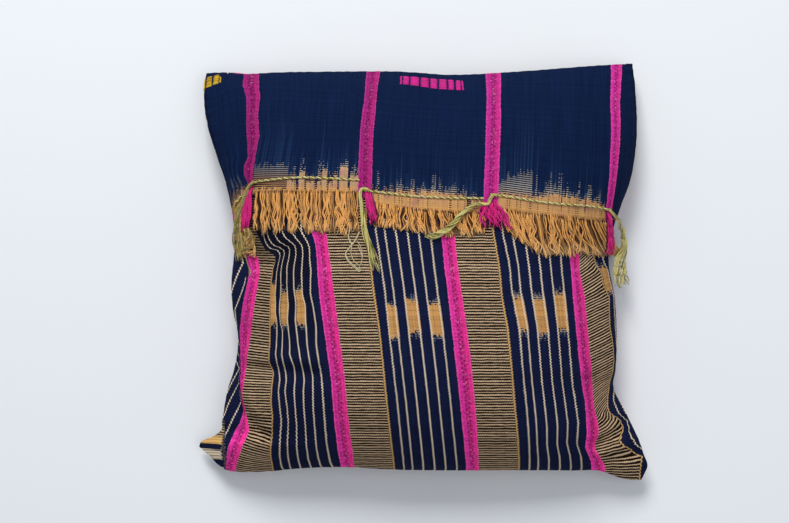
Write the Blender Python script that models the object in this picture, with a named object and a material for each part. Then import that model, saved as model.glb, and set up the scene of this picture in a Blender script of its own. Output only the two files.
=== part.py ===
"""Cushion cover of hand-woven strips, filled and lying on its back.

Frame: +X across the face, +Y towards the cushion's top edge, +Z up and out of the face.
The flat of the back rests on z = 0. Sizes below are millimetres on the finished cushion.
"""
from collections import namedtuple
import math

import bmesh
import bpy
from mathutils import Vector
import numpy as np

MM = 0.001

# Filling: heights above the floor
SIDE_SEAM_HEIGHT = 43.0
CORNER_SEAM_HEIGHT = 21.0
EAR_DROP = 7.0
EAR_SHARPNESS = 3
SEAM_THICKNESS = 1.6
CROWN = 76.0
BACK_BULGE = 62.0
CROWN_ROUNDNESS = 2.8
CROWN_FULLNESS = 0.78
CROWN_SINK = 0.12
EASED_FROM = 0.965

# Cloth and yarn
CLOTH_GAP = 1.2
CLOTH_THICKNESS = 2.0
FLAP_EDGE_MARGIN = 3.0
PIECE_GAP = 0.5
BACKING_DEPTH = 4.0
STRAND_WIDTHS = (1.9, 1.9, 1.8, 1.6, 1.3)
TUFT_WIDTHS = (1.4, 1.3, 1.3, 1.2, 1.0)
STRAND_SHARE = 0.6
STRAND_THICKNESS = 1.3
FRINGE_SWAY, FRINGE_SWAY_PACE = 0.7, 0.7
FRINGE_UNEVENNESS, FRINGE_LENGTH_PACE = 0.06, 2.3
FRINGE_RISE = 0.5
FRINGE_BEND = 1.4
FRINGE_PARTING = 1.2
FRINGE_PARTING_REACH = 9.0
TUFT_UNEVENNESS, TUFT_LENGTH_PACE = 0.08, 1.9
TUFT_RISE = 2.6
TUFT_BEND = 1.8
END_CORD_RADIUS = 1.3
END_CORD_STEP = 9.0

# Grid lines of the meshes
BODY_COLUMNS = 36
BODY_ROWS = 34
FLAP_ROWS = 12
FLAP_COLUMN = 9.5
EDGE_CROWDING = 0.36
SLOPE_STEP = 0.5

# Outline of the sewn cover. Top and bottom rows are x, y. Left and right rows are y, x.
TOP_EDGE = (
    (-227.0, 209.0), (-205.0, 208.5), (-180.0, 206.0), (-138.0, 206.4), (-54.0, 206.0),
    (-20.0, 206.0), (36.0, 202.5), (97.0, 206.0), (178.0, 214.5), (217.0, 219.0),
)
BOTTOM_EDGE = (
    (-233.0, -179.0), (-222.0, -187.0), (-213.0, -196.0), (-204.0, -201.5), (-190.0, -203.0),
    (-160.0, -202.0), (-132.0, -199.0), (-90.0, -197.0), (-30.0, -199.5), (0.0, -200.0),
    (150.0, -201.0), (180.0, -202.0), (198.0, -208.5), (210.0, -211.5), (222.0, -212.0),
)
LEFT_EDGE = (
    (-179.0, -233.0), (-173.0, -229.0), (-168.0, -217.0), (-162.0, -209.0), (-152.0, -207.0),
    (-140.0, -205.0), (-120.0, -201.0), (-100.0, -194.5), (-80.0, -190.5), (-60.0, -190.5),
    (-40.0, -195.0), (-18.0, -197.0), (38.0, -194.0), (63.0, -197.0), (93.0, -204.0),
    (125.0, -215.0), (158.0, -225.0), (189.0, -228.5), (209.0, -227.0),
)
RIGHT_EDGE = (
    (-212.0, 222.0), (-198.0, 228.0), (-186.0, 224.0), (-170.0, 218.0), (-156.0, 211.0),
    (-140.0, 203.0), (-128.0, 196.0), (-116.0, 191.5), (-100.0, 193.5), (-50.0, 194.5),
    (-25.0, 193.0), (12.0, 187.0), (50.0, 193.5), (70.0, 200.0), (90.0, 208.0), (110.0, 213.0),
    (130.0, 216.0), (190.0, 218.0), (219.0, 217.0),
)

# Folds of the face: a trough has a negative rise
Fold = namedtuple("Fold", "name x0 y0 x1 y1 rise width")
FOLDS = (
    Fold("flap hollow by the left side", -193, 165, -180, 74, -6.5, 17),
    Fold("flap hollow by the right join", 171, 182, 172, 122, -3.5, 13),
    Fold("flap roll by the right side", 199, 190, 195, 110, 1.5, 14),
    Fold("crease under the left fringe", -164, 34, -138, 17, -5.0, 8),
    Fold("crease down from it", -138, 17, -146, -30, -6.0, 8),
    Fold("soft ridge beside it", -124, 20, -129, -26, 4.0, 10),
    Fold("left join's valley", -167, 20, -165, -36, -5.5, 7),
    Fold("left cross fold", -185, -97, -106, -102, -6.0, 7),
    Fold("roll above the cross fold", -178, -84, -116, -88, 4.0, 8),
    Fold("fold over the left join", -187, -112, -173, -140, 5.5, 8),
    Fold("crease above the left ear", -184, -139, -162, -166, -7.0, 7),
    Fold("right side crease", 166, -108, 181, -196, -6.0, 8),
    Fold("roll beside the right crease", 152, -104, 164, -186, 3.0, 10),
    Fold("upper crease of the right ear", 172, -174, 200, -158, -6.5, 6),
    Fold("lower crease of the right ear", 174, -197, 220, -181, -6.5, 6),
    Fold("ridge between those creases", 180, -184, 214, -169, 4.5, 6),
)
TOP_PUCKERS = (-172.0, -112.0, -58.0, 8.0, 66.0, 128.0, 186.0)
PUCKER_TOP, PUCKER_FOOT, PUCKER_LEAN = 198.0, 168.0, 3.0
PUCKER_RISE, PUCKER_WIDTH = -2.2, 9.0
FOLD_FADE = 2.6

# Flap: where the strips are joined, read along its fringed end, and where each strip's cloth ends
Strip = namedtuple("Strip", "name x0 y0 x1 y1 strands length lean gap_at")
STRIPS = (
    Strip("fringe_left_side", -192.0, 65.0, -182.5, 70.5, 4, 50.0, 4.0, None),
    Strip("fringe_left", -168.5, 83.0, -66.0, 78.5, 32, 40.0, 0.5, -123.0),
    Strip("fringe_middle", -53.0, 68.0, 55.0, 58.5, 34, 23.0, 5.0, None),
    Strip("fringe_right", 69.0, 60.5, 179.0, 58.5, 34, 38.0, 16.0, None),
)
HEM_LEFT = (-194.5, 62.5)
TUFT_END = (190.5, 56.0)
HEM_RIGHT = (TUFT_END, (193.0, 55.5))

# Magenta ends of the warp at each join: number of ends, length, how far they spread and lean
Tuft = namedtuple("Tuft", "name strands length spread lean")
TUFTS = (
    Tuft("tuft_1", 4, 36.0, 0.0, 0.0),
    Tuft("tuft_2", 4, 22.0, 1.0, 4.0),
    Tuft("tuft_3", 5, 20.0, 13.0, 5.0),
    Tuft("tuft_4", 4, 40.0, 1.0, 3.0),
)

# Twined cords across the strips' ends: rows of x, y
EndCord = namedtuple("EndCord", "name route")
END_CORDS = (
    EndCord("end_cord_left_side", ((-194.0, 69.5), (-187.0, 74.0), (-180.5, 78.5))),
    EndCord("end_cord_left", ((-169.0, 90.0), (-138.0, 90.7), (-123.0, 90.9), (-64.5, 86.2))),
    EndCord("end_cord_middle", ((-62.0, 77.0), (-32.0, 72.5), (-5.0, 70.5), (18.0, 69.3), (55.5, 68.4))),
    EndCord("end_cord_right", ((62.0, 72.0), (92.0, 68.4), (120.0, 65.3), (155.0, 64.5), (180.0, 63.0))),
)

# Loose ends of those cords: rows of x, y, height over the face
LooseEnd = namedtuple("LooseEnd", "name strands route")
LOOSE_ENDS = (
    LooseEnd("loose_end_1", 3, (
        (-182.0, 66.0, 6.8), (-186.0, 52.0, 6.2), (-188.0, 34.0, 5.6),
        (-185.0, 11.0, 4.8), (-177.5, -6.0, 3.0))),
    LooseEnd("loose_end_2", 3, (
        (-63.5, 68.0, 6.8), (-60.0, 46.0, 6.8), (-56.0, 30.0, 6.0), (-53.0, 16.0, 4.0), (-47.0, -6.0, 2.4))),
    LooseEnd("loose_end_3", 3, (
        (52.0, 63.0, 6.8), (46.0, 62.0, 6.8), (32.5, 51.0, 6.8), (23.0, 41.0, 6.0), (9.0, 35.0, 5.0),
        (-3.0, 31.0, 4.0))),
    LooseEnd("loose_end_4", 3, (
        (186.0, 52.0, 6.8), (194.0, 42.0, 6.8), (199.0, 28.0, 6.5), (197.0, 12.0, 5.5), (196.0, -12.0, 4.0))),
)
LOOSE_HEAD_WIDTH = 6.5
LOOSE_HEAD_LENGTH = 6.0
LOOSE_STRAND_WIDTH = 1.1
LOOSE_STEPS = 7
LOOSE_UNEVENNESS, LOOSE_PACE = 0.08, 2.0

# Colours are linear red, green and blue
NAVY = (0.010, 0.018, 0.055, 1.0)
STRIPED = (0.060, 0.045, 0.045, 1.0)
PEACH = (0.480, 0.260, 0.100, 1.0)
MAGENTA = (0.420, 0.030, 0.190, 1.0)
YELLOW_GREEN = (0.420, 0.350, 0.100, 1.0)
CLOTH_ROUGHNESS = 0.9


def smooth_curve(rows, at):
    """Read a smooth curve through the rows (place, value), level beyond both ends."""
    places, values = np.array(rows, dtype=float).T
    slopes = np.gradient(values, places)
    left = np.clip(np.searchsorted(places, at) - 1, 0, len(places) - 2)
    step = places[left + 1] - places[left]
    part = np.clip((at - places[left]) / step, 0.0, 1.0)
    bend = part * part * (3.0 - 2.0 * part)
    start_pull = part * (1.0 - part) ** 2 * step * slopes[left]
    end_pull = part * part * (part - 1.0) * step * slopes[left + 1]
    return values[left] * (1.0 - bend) + values[left + 1] * bend + start_pull + end_pull


def outline_place(u, v):
    """Place (x, y) of the cover's own grid, with u and v from 0 to 1, inside the four sewn edges."""
    (x_bl, y_bl), (x_br, y_br) = BOTTOM_EDGE[0], BOTTOM_EDGE[-1]
    (x_tl, y_tl), (x_tr, y_tr) = TOP_EDGE[0], TOP_EDGE[-1]
    bottom_x = x_bl + (x_br - x_bl) * u
    top_x = x_tl + (x_tr - x_tl) * u
    left_y = y_bl + (y_tl - y_bl) * v
    right_y = y_br + (y_tr - y_br) * v
    corner_x = (1 - u) * (1 - v) * x_bl + u * (1 - v) * x_br + (1 - u) * v * x_tl + u * v * x_tr
    corner_y = (1 - u) * (1 - v) * y_bl + u * (1 - v) * y_br + (1 - u) * v * y_tl + u * v * y_tr
    x = ((1 - v) * bottom_x + v * top_x - corner_x
         + (1 - u) * smooth_curve(LEFT_EDGE, left_y) + u * smooth_curve(RIGHT_EDGE, right_y))
    y = ((1 - u) * left_y + u * right_y - corner_y
         + (1 - v) * smooth_curve(BOTTOM_EDGE, bottom_x) + v * smooth_curve(TOP_EDGE, top_x))
    return x, y


def across_and_along(x, y):
    """How far (x, y) is from the middle to the seams, -1 to 1, across and along the cover."""
    left, right = smooth_curve(LEFT_EDGE, y), smooth_curve(RIGHT_EDGE, y)
    bottom, top = smooth_curve(BOTTOM_EDGE, x), smooth_curve(TOP_EDGE, x)
    return 2.0 * (x - left) / (right - left) - 1.0, 2.0 * (y - bottom) / (top - bottom) - 1.0


def crown(a):
    """Filled profile from seam to seam: 1 in the middle, 0 at -1 and 1 and beyond them."""
    return (1.0 - np.minimum(np.abs(a), 1.0) ** CROWN_ROUNDNESS) ** CROWN_FULLNESS


def draped_crown(a):
    """The same profile for loose yarn, which leaves it near the seam and droops straight past it."""
    near = EASED_FROM - 0.01
    slope = (crown(near) - crown(EASED_FROM)) / (EASED_FROM - near)
    beyond = np.maximum(np.abs(a) - EASED_FROM, 0.0)
    return crown(np.minimum(np.abs(a), EASED_FROM)) - slope * beyond


def seam_height(across, along):
    """Height of the sheet in which the sewn edges lie: lower at the ears, lowest at the left one."""
    across, along = np.clip(across, -1.0, 1.0), np.clip(along, -1.0, 1.0)
    corner = np.abs(across * along) ** EAR_SHARPNESS
    left_ear = corner * np.clip(-across, 0.0, 1.0) * np.clip(-along, 0.0, 1.0)
    return SIDE_SEAM_HEIGHT + (CORNER_SEAM_HEIGHT - SIDE_SEAM_HEIGHT) * corner - EAR_DROP * left_ear


def fold_relief(x, y):
    """Rise of the face's folds at (x, y), each a soft trough or ridge along a line."""
    puckers = [Fold("pucker", px, PUCKER_TOP, px + PUCKER_LEAN, PUCKER_FOOT, PUCKER_RISE, PUCKER_WIDTH)
               for px in TOP_PUCKERS]
    rise = np.zeros_like(x)
    for fold in FOLDS + tuple(puckers):
        run_x, run_y = fold.x1 - fold.x0, fold.y1 - fold.y0
        along_fold = ((x - fold.x0) * run_x + (y - fold.y0) * run_y) / (run_x ** 2 + run_y ** 2)
        along_fold = np.clip(along_fold, 0.0, 1.0)
        away = np.hypot(x - fold.x0 - along_fold * run_x, y - fold.y0 - along_fold * run_y)
        rise += fold.rise * np.exp(-(away / fold.width) ** 2)
    return rise


def face_height(x, y, profile=crown):
    """Height of the cushion's front at (x, y)."""
    across, along = across_and_along(x, y)
    sunk = along + CROWN_SINK * (1.0 - along ** 2)
    filled = profile(across) * crown(sunk)
    folds = fold_relief(x, y) * np.clip(FOLD_FADE * filled, 0.0, 1.0)
    return seam_height(across, along) + SEAM_THICKNESS / 2 + CROWN * filled + folds


def back_height(x, y):
    """Height of the cushion's back at (x, y), level where it rests on the floor."""
    across, along = across_and_along(x, y)
    filled = crown(across) * crown(along)
    return np.maximum(0.0, seam_height(across, along) - SEAM_THICKNESS / 2 - BACK_BULGE * filled)


def over_face(x, y, lift, profile=crown):
    """Points (rows of x, y, z) at a distance `lift` out of the front over (x, y)."""
    x, y = np.asarray(x, dtype=float), np.asarray(y, dtype=float)
    step = SLOPE_STEP
    slope_x = (face_height(x + step, y, profile) - face_height(x - step, y, profile)) / (2 * step)
    slope_y = (face_height(x, y + step, profile) - face_height(x, y - step, profile)) / (2 * step)
    size = np.sqrt(slope_x ** 2 + slope_y ** 2 + 1.0)
    return np.stack([x - slope_x / size * lift, y - slope_y / size * lift,
                     face_height(x, y, profile) + lift / size], axis=-1)


def crowd(part):
    """Spread 0 to 1 so that grid lines stand closer together near both edges."""
    a = 2.0 * part - 1.0
    return 0.5 + 0.5 * (a + EDGE_CROWDING * a * (1.0 - a * a))


def closed_sheet(columns, rows, under, over):
    """Mesh closed between two grids. `under` and `over` place points given (u, v) from 0 to 1.

    The corners along v = 0 are tagged, so that strands can grow out of that rim.
    """
    mesh = bmesh.new()
    for place in (over, under):
        made = bmesh.ops.create_grid(mesh, x_segments=columns, y_segments=rows, size=0.5)["verts"]
        flat = np.array([vert.co for vert in made]) + 0.5
        for vert, v, point in zip(made, flat[:, 1], place(flat[:, 0], flat[:, 1])):
            vert.tag = bool(v < 0.5 / rows)
            vert.co = Vector(point) * MM
    rims = [edge for edge in mesh.edges if edge.is_boundary]
    bmesh.ops.bridge_loops(mesh, edges=rims)
    bmesh.ops.recalc_face_normals(mesh, faces=mesh.faces)
    return mesh


def cloth_faces(place, lift=CLOTH_GAP):
    """The under and over placing functions of a sheet of cloth that lies at `place` on the face."""
    def under(u, v):
        return over_face(*place(u, v), lift)

    def over(u, v):
        return over_face(*place(u, v), lift + CLOTH_THICKNESS)

    return under, over


def dress(name, data, colour):
    """Make a named object of a mesh or curve, in its own cloth material, and put it in the scene."""
    material = bpy.data.materials.new(name)
    material.use_nodes = True
    shader = material.node_tree.nodes["Principled BSDF"]
    shader.inputs["Base Color"].default_value = colour
    shader.inputs["Roughness"].default_value = CLOTH_ROUGHNESS
    data.materials.append(material)
    piece = bpy.data.objects.new(name, data)
    bpy.context.scene.collection.objects.link(piece)
    return piece


def add_piece(name, mesh, colour):
    """Make a named object of a bmesh."""
    data = bpy.data.meshes.new(name)
    mesh.to_mesh(data)
    mesh.free()
    return dress(name, data, colour)


def cushion_body():
    """The striped cover, front and back, round its filling: crown, drawn-in sides, ears and folds."""
    def front(u, v):
        x, y = outline_place(crowd(u), crowd(v))
        return np.stack([x, y, face_height(x, y)], axis=-1)

    def back(u, v):
        x, y = outline_place(crowd(u), crowd(v))
        return np.stack([x, y, back_height(x, y)], axis=-1)

    return add_piece("cushion_body", closed_sheet(BODY_COLUMNS, BODY_ROWS, back, front), STRIPED)


def flap_foot():
    """Places x, y along the flap's fringed end, with every corner of that end among them."""
    corners = [HEM_LEFT] + [corner for strip in STRIPS for corner in
                            ((strip.x0, strip.y0), (strip.x1, strip.y1))] + list(HEM_RIGHT)
    foot = []
    for (x0, y0), (x1, y1) in zip(corners, corners[1:]):
        count = max(1, round((x1 - x0) / FLAP_COLUMN))
        foot += [(x0 + (x1 - x0) * step / count, y0 + (y1 - y0) * step / count) for step in range(count)]
    return np.array(foot + [corners[-1]]).T


def flap():
    """The dyed sheet over the cushion's upper front, from the top seam to its fringed end."""
    foot_x, foot_y = flap_foot()
    count = len(foot_x) - 1
    head_x = np.linspace(TOP_EDGE[0][0] + FLAP_EDGE_MARGIN, TOP_EDGE[-1][0] - FLAP_EDGE_MARGIN, count + 1)
    head_y = smooth_curve(TOP_EDGE, head_x) - FLAP_EDGE_MARGIN

    def place(u, v):
        column = np.rint(u * count).astype(int)
        x0, y0 = foot_x[column], foot_y[column]
        rise = 2.0 * crowd(0.5 + v / 2) - 1.0
        y = y0 + (head_y[column] - y0) * rise
        share = (x0 - foot_x[0]) / (foot_x[-1] - foot_x[0])
        left_drift = smooth_curve(LEFT_EDGE, y) - smooth_curve(LEFT_EDGE, y0)
        right_drift = smooth_curve(RIGHT_EDGE, y) - smooth_curve(RIGHT_EDGE, y0)
        return x0 + (1.0 - share) * left_drift + share * right_drift, y

    return add_piece("flap", closed_sheet(count, FLAP_ROWS, *cloth_faces(place)), NAVY)


def route_points(route, steps, reach=1.0):
    """Rows at even steps along a smooth curve through a route's rows, up to the share `reach` of it."""
    rows = np.array(route, dtype=float)
    travelled = np.concatenate([[0.0], np.cumsum(np.hypot(*np.diff(rows[:, :2], axis=0).T))])
    at = np.linspace(0.0, travelled[-1] * reach, steps + 1)
    return np.stack([smooth_curve(list(zip(travelled, column)), at) for column in rows.T], axis=-1)


def sideways_of(rows):
    """Unit steps (x, y) to the left of the way the rows run, one for each row."""
    run = np.gradient(rows[:, :2], axis=0)
    return np.stack([-run[:, 1], run[:, 0]], axis=-1) / np.hypot(*run.T)[:, None]


def grow_strand(mesh, root, rows, widths):
    """Extrude a four-sided strand out of the face `root` along rows (x, y, lift)."""
    side = sideways_of(rows)

    def corner(row, sideways, up):
        x, y = rows[row, :2] + side[row] * sideways * widths[row] / 2
        return Vector(over_face(x, y, rows[row, 2] + up * STRAND_THICKNESS / 2, draped_crown)) * MM

    middle = root.calc_center_median()
    sideways_run = corner(0, 1.0, 0.0) - corner(0, -1.0, 0.0)
    upward_run = corner(0, 0.0, 1.0) - corner(0, 0.0, -1.0)
    roles = [(math.copysign(1.0, (vert.co - middle).dot(sideways_run)),
              math.copysign(1.0, (vert.co - middle).dot(upward_run))) for vert in root.verts]
    for row in range(1, len(rows)):
        root = bmesh.ops.extrude_discrete_faces(mesh, faces=[root])["faces"][0]
        for vert, (sideways, up) in zip(root.verts, roles):
            vert.co = corner(row, sideways, up)


def fringed_piece(name, colour, edge, depth, lift, strands, widths):
    """A backing with strands on its lower edge.

    edge: the start and end (x, y) of the lower edge. depth: (x, y) from it to the upper edge.
    strands: rows (x, y, lift) for each strand, from its root on, or None where a strand is missing.
    """
    lines = [0.0]
    for index in range(len(strands)):
        middle = (index + 0.5) / len(strands)
        reach = STRAND_SHARE / 2 / len(strands)
        lines += [middle - reach, middle + reach]
    lines = np.array(lines + [1.0])
    (x0, y0), (x1, y1) = edge

    def place(u, v):
        share = lines[np.rint(u * (len(lines) - 1)).astype(int)]
        return x0 + (x1 - x0) * share + depth[0] * v, y0 + (y1 - y0) * share + depth[1] * v

    mesh = closed_sheet(len(lines) - 1, 1, *cloth_faces(place, lift))
    rim = [face for face in mesh.faces if all(vert.tag for vert in face.verts)]
    rim.sort(key=lambda face: face.calc_center_median().xy.dot(Vector((x1 - x0, y1 - y0))))
    for root, rows in zip(rim[1::2], strands):
        if rows is not None:
            grow_strand(mesh, root, rows, widths)
    return add_piece(name, mesh, colour)


def hanging_strands(edge, count, usual, length, drift, rise, bend):
    """Rows (x, y, lift) of strands that hang from an edge.

    usual: the length at which a strand has its whole drift. length(index), drift(index, x, share)
    and rise(parts) give each strand's own length, how far it drifts sideways and how far it rises
    off the face from its root to its tip.
    """
    (x0, y0), (x1, y1) = edge
    parts = np.linspace(0.0, 1.0, len(STRAND_WIDTHS))
    strands = []
    for index in range(count):
        share = (index + 0.5) / count
        x, y = x0 + (x1 - x0) * share, y0 + (y1 - y0) * share
        drop = length(index) * parts
        strands.append(np.stack([x + drift(index, x, share) * (drop / usual) ** bend,
                                 y - drop,
                                 CLOTH_GAP + CLOTH_THICKNESS / 2 + rise(parts)], axis=-1))
    return strands


def fringe(strip):
    """One strip's warp ends: a backing parted from the cloth's edge, with the strands on it."""
    drop = PIECE_GAP + BACKING_DEPTH
    edge = ((strip.x0, strip.y0 - drop), (strip.x1, strip.y1 - drop))

    def drift(index, x, share):
        sway = strip.lean + FRINGE_SWAY * math.sin(index * FRINGE_SWAY_PACE)
        if strip.gap_at is not None:
            sway += math.copysign(FRINGE_PARTING, x - strip.gap_at) * math.exp(
                -abs(x - strip.gap_at) / FRINGE_PARTING_REACH)
        return sway

    def length(index):
        return strip.length * (1.0 + FRINGE_UNEVENNESS * math.sin(index * FRINGE_LENGTH_PACE))

    def rise(parts):
        return FRINGE_RISE * np.sin(parts * math.pi)

    strands = hanging_strands(edge, strip.strands, strip.length, length, drift, rise, FRINGE_BEND)
    if strip.gap_at is not None:
        roots = [abs(rows[0, 0] - strip.gap_at) for rows in strands]
        strands[roots.index(min(roots))] = None
    return fringed_piece(strip.name, PEACH, edge, (0.0, BACKING_DEPTH), CLOTH_GAP, strands, STRAND_WIDTHS)


def tuft(number, entry):
    """The magenta warp ends that hang from the join between two strips, over both fringes."""
    drop = 2.0 * PIECE_GAP + BACKING_DEPTH
    before = STRIPS[number]
    x1, y1 = TUFT_END
    if number + 1 < len(STRIPS):
        x1, y1 = STRIPS[number + 1].x0 - PIECE_GAP, STRIPS[number + 1].y0
    edge = ((before.x1 + PIECE_GAP, before.y1 - drop), (x1, y1 - drop))

    def drift(index, x, share):
        return entry.lean + entry.spread * (2.0 * share - 1.0)

    def length(index):
        return entry.length * (1.0 + TUFT_UNEVENNESS * math.sin(index * TUFT_LENGTH_PACE + number))

    def rise(parts):
        return TUFT_RISE * np.clip(parts * (len(STRAND_WIDTHS) - 1), 0.0, 1.0)

    strands = hanging_strands(edge, entry.strands, entry.length, length, drift, rise, TUFT_BEND)
    return fringed_piece(entry.name, MAGENTA, edge, (0.0, BACKING_DEPTH), CLOTH_GAP, strands, TUFT_WIDTHS)


def end_cord(entry):
    """The thick twined cord sewn across a strip's end, lying on the cloth."""
    lift = CLOTH_GAP + CLOTH_THICKNESS + PIECE_GAP + END_CORD_RADIUS
    length = math.dist(entry.route[0], entry.route[-1])
    path = route_points(entry.route, max(3, round(length / END_CORD_STEP)))
    data = bpy.data.curves.new(entry.name, "CURVE")
    data.dimensions = "3D"
    data.bevel_depth = END_CORD_RADIUS * MM
    data.bevel_resolution = 1
    data.use_fill_caps = True
    spline = data.splines.new("POLY")
    spline.points.add(len(path) - 1)
    for knot, point in zip(spline.points, over_face(path[:, 0], path[:, 1], lift) * MM):
        knot.co = (*point, 1.0)
    return dress(entry.name, data, YELLOW_GREEN)


def loose_end(entry):
    """The untwisted tail of an end cord: a bound head with its yarns lying over the fringe."""
    strands = []
    for index in range(entry.strands):
        share = (index + 0.5) / entry.strands - 0.5
        reach = 1.0 - LOOSE_UNEVENNESS * (1.0 + math.cos(index * LOOSE_PACE))
        rows = route_points(entry.route, LOOSE_STEPS, reach)
        rows[:, :2] += sideways_of(rows) * LOOSE_HEAD_WIDTH * share
        strands.append(rows)
    path = route_points(entry.route, LOOSE_STEPS)
    side = sideways_of(path)[0]
    edge = (path[0, :2] - side * LOOSE_HEAD_WIDTH / 2, path[0, :2] + side * LOOSE_HEAD_WIDTH / 2)
    back = np.array([-side[1], side[0]]) * LOOSE_HEAD_LENGTH
    return fringed_piece(entry.name, YELLOW_GREEN, edge, back, path[0, 2] - CLOTH_THICKNESS / 2,
                         strands, [LOOSE_STRAND_WIDTH] * len(path))


def stand_on_middle(pieces):
    """Move all pieces together, by an empty, so that the middle of their box is over the origin."""
    bpy.context.view_layer.update()
    graph = bpy.context.evaluated_depsgraph_get()
    places = []
    for piece in pieces:
        shown = piece.evaluated_get(graph)
        mesh = shown.to_mesh()
        places += [vert.co.copy() for vert in mesh.vertices]
        shown.to_mesh_clear()
    low = [min(place[axis] for place in places) for axis in range(3)]
    high = [max(place[axis] for place in places) for axis in range(3)]
    frame = bpy.data.objects.new("cushion_frame", None)
    frame.location = (-(low[0] + high[0]) / 2, -(low[1] + high[1]) / 2, -low[2])
    bpy.context.scene.collection.objects.link(frame)
    for piece in pieces:
        piece.parent = frame


def main():
    """Clear the scene and model the cushion, piece by piece."""
    for old in list(bpy.data.objects):
        bpy.data.objects.remove(old, do_unlink=True)
    pieces = [cushion_body(), flap()]
    pieces += [fringe(strip) for strip in STRIPS]
    pieces += [tuft(number, entry) for number, entry in enumerate(TUFTS)]
    pieces += [end_cord(entry) for entry in END_CORDS]
    pieces += [loose_end(entry) for entry in LOOSE_ENDS]
    stand_on_middle(pieces)


main()
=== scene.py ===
"""Woven, sewn and fringed surface of the cushion cover, over its plain solids.

Sizes are millimetres on the finished cushion, with x to the right and y up the face, as the solids'
source draws them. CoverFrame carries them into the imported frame, in metres.
"""
import logging
import math
from dataclasses import dataclass
from enum import Enum
from functools import reduce
from typing import Callable, ClassVar, Optional, Sequence, Union

import bpy
import numpy as np
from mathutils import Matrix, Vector

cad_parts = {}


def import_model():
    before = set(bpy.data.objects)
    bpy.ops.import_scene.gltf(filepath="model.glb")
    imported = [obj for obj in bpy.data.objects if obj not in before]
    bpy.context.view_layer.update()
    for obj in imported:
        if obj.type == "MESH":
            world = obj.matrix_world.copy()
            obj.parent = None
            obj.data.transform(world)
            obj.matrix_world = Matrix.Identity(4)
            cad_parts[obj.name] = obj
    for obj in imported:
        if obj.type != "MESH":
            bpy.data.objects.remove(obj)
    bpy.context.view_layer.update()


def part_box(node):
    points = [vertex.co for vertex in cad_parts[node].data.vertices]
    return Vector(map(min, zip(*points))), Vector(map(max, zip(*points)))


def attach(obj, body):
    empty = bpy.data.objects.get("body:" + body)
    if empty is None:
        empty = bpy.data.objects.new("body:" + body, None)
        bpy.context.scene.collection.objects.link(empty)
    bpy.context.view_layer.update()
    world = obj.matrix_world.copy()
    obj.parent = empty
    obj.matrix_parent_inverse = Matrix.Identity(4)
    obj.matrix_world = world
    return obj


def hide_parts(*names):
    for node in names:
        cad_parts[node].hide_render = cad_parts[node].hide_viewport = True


LOG = logging.getLogger("cushion_cover")
MM = 0.001
BODY = "root"
TUFT_SEED = 20
LOOSE_SEED = 40
INLAY_SEED = 60

Row = tuple[float, float]
Rows = tuple[Row, ...]
Point = tuple[float, float, float]
Array = np.ndarray
Piece = bpy.types.Object
Material = bpy.types.Material
Node = bpy.types.Node
NodeTree = bpy.types.NodeTree
Socket = bpy.types.NodeSocket


class Yarn(Enum):
    """Colours of the dyed yarns, and of painted shade, as red, green and blue from 0 to 255 on a screen."""

    NAVY = (17, 24, 53)
    # Painted shade: a darker navy laid over strip 0, strongest near the fold under the left fringe.
    NAVY_SHADE = (15, 16, 27)
    FLAP_NAVY = (12, 28, 61)
    FADED_NAVY = (48, 82, 124)
    CREAM = (226, 206, 178)
    TAN = (204, 174, 140)
    BROWN_BLACK = (25, 14, 8)
    GOLD = (208, 164, 98)
    RESIST = (208, 154, 92)
    PALE_RESIST = (182, 148, 116)
    RESIST_DOT = (204, 196, 184)
    ROSE_STAIN = (178, 118, 112)
    PEACH = (230, 166, 92)
    PEACH_SHADE = (80, 38, 10)
    PEACH_TIP = (240, 196, 138)
    OLIVE_YARN = (176, 148, 74)
    MAGENTA = (222, 50, 136)
    PURPLE = (212, 50, 144)
    VIOLET = (200, 46, 146)
    STITCH = (84, 10, 54)
    FLECK = (232, 128, 180)
    TUFT = (218, 34, 126)
    TUFT_SHADE = (82, 6, 50)
    INLAY_MAGENTA = (226, 40, 156)
    INLAY_YELLOW = (224, 184, 44)
    INLAY_SHADE = (110, 70, 40)
    LIME = (210, 198, 116)
    # Painted shade of the lime yarns, for yarns that lie under others and the darker ply of the cords.
    LIME_SHADE = (126, 116, 54)
    LIME_PALE = (226, 214, 170)

    @property
    def rgba(self) -> tuple[float, float, float, float]:
        """The colour in linear light, as shader sockets take it."""
        return (*(((part / 255 + 0.055) / 1.055) ** 2.4 if part > 10 else part / 3294
                  for part in self.value), 1.0)


def smooth_curve(rows: Sequence[Row], at: Array) -> Array:
    """Read a smooth curve through rows of place and value, level beyond both ends.

    Args:
        rows: Places, rising, with the value at each.
        at: Places to read the curve at.

    Returns:
        The value at each place.
    """
    places, values = np.array(rows, dtype=float).T
    slopes = np.gradient(values, places)
    left = np.clip(np.searchsorted(places, at) - 1, 0, len(places) - 2)
    step = places[left + 1] - places[left]
    part = np.clip((at - places[left]) / step, 0.0, 1.0)
    bend = part * part * (3.0 - 2.0 * part)
    start_pull = part * (1.0 - part) ** 2 * step * slopes[left]
    end_pull = part * part * (part - 1.0) * step * slopes[left + 1]
    return values[left] * (1.0 - bend) + values[left + 1] * bend + start_pull + end_pull


def straight_curve(rows: Sequence[Row], at: Array) -> Array:
    """Read straight runs through rows of place and value, at any order of the rows."""
    places, values = np.array(sorted(rows), dtype=float).T
    return np.interp(at, places, values)


def ease(part: Array) -> Array:
    """Smooth step from 0 to 1, level beyond both ends."""
    part = np.clip(part, 0.0, 1.0)
    return part * part * (3.0 - 2.0 * part)


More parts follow.
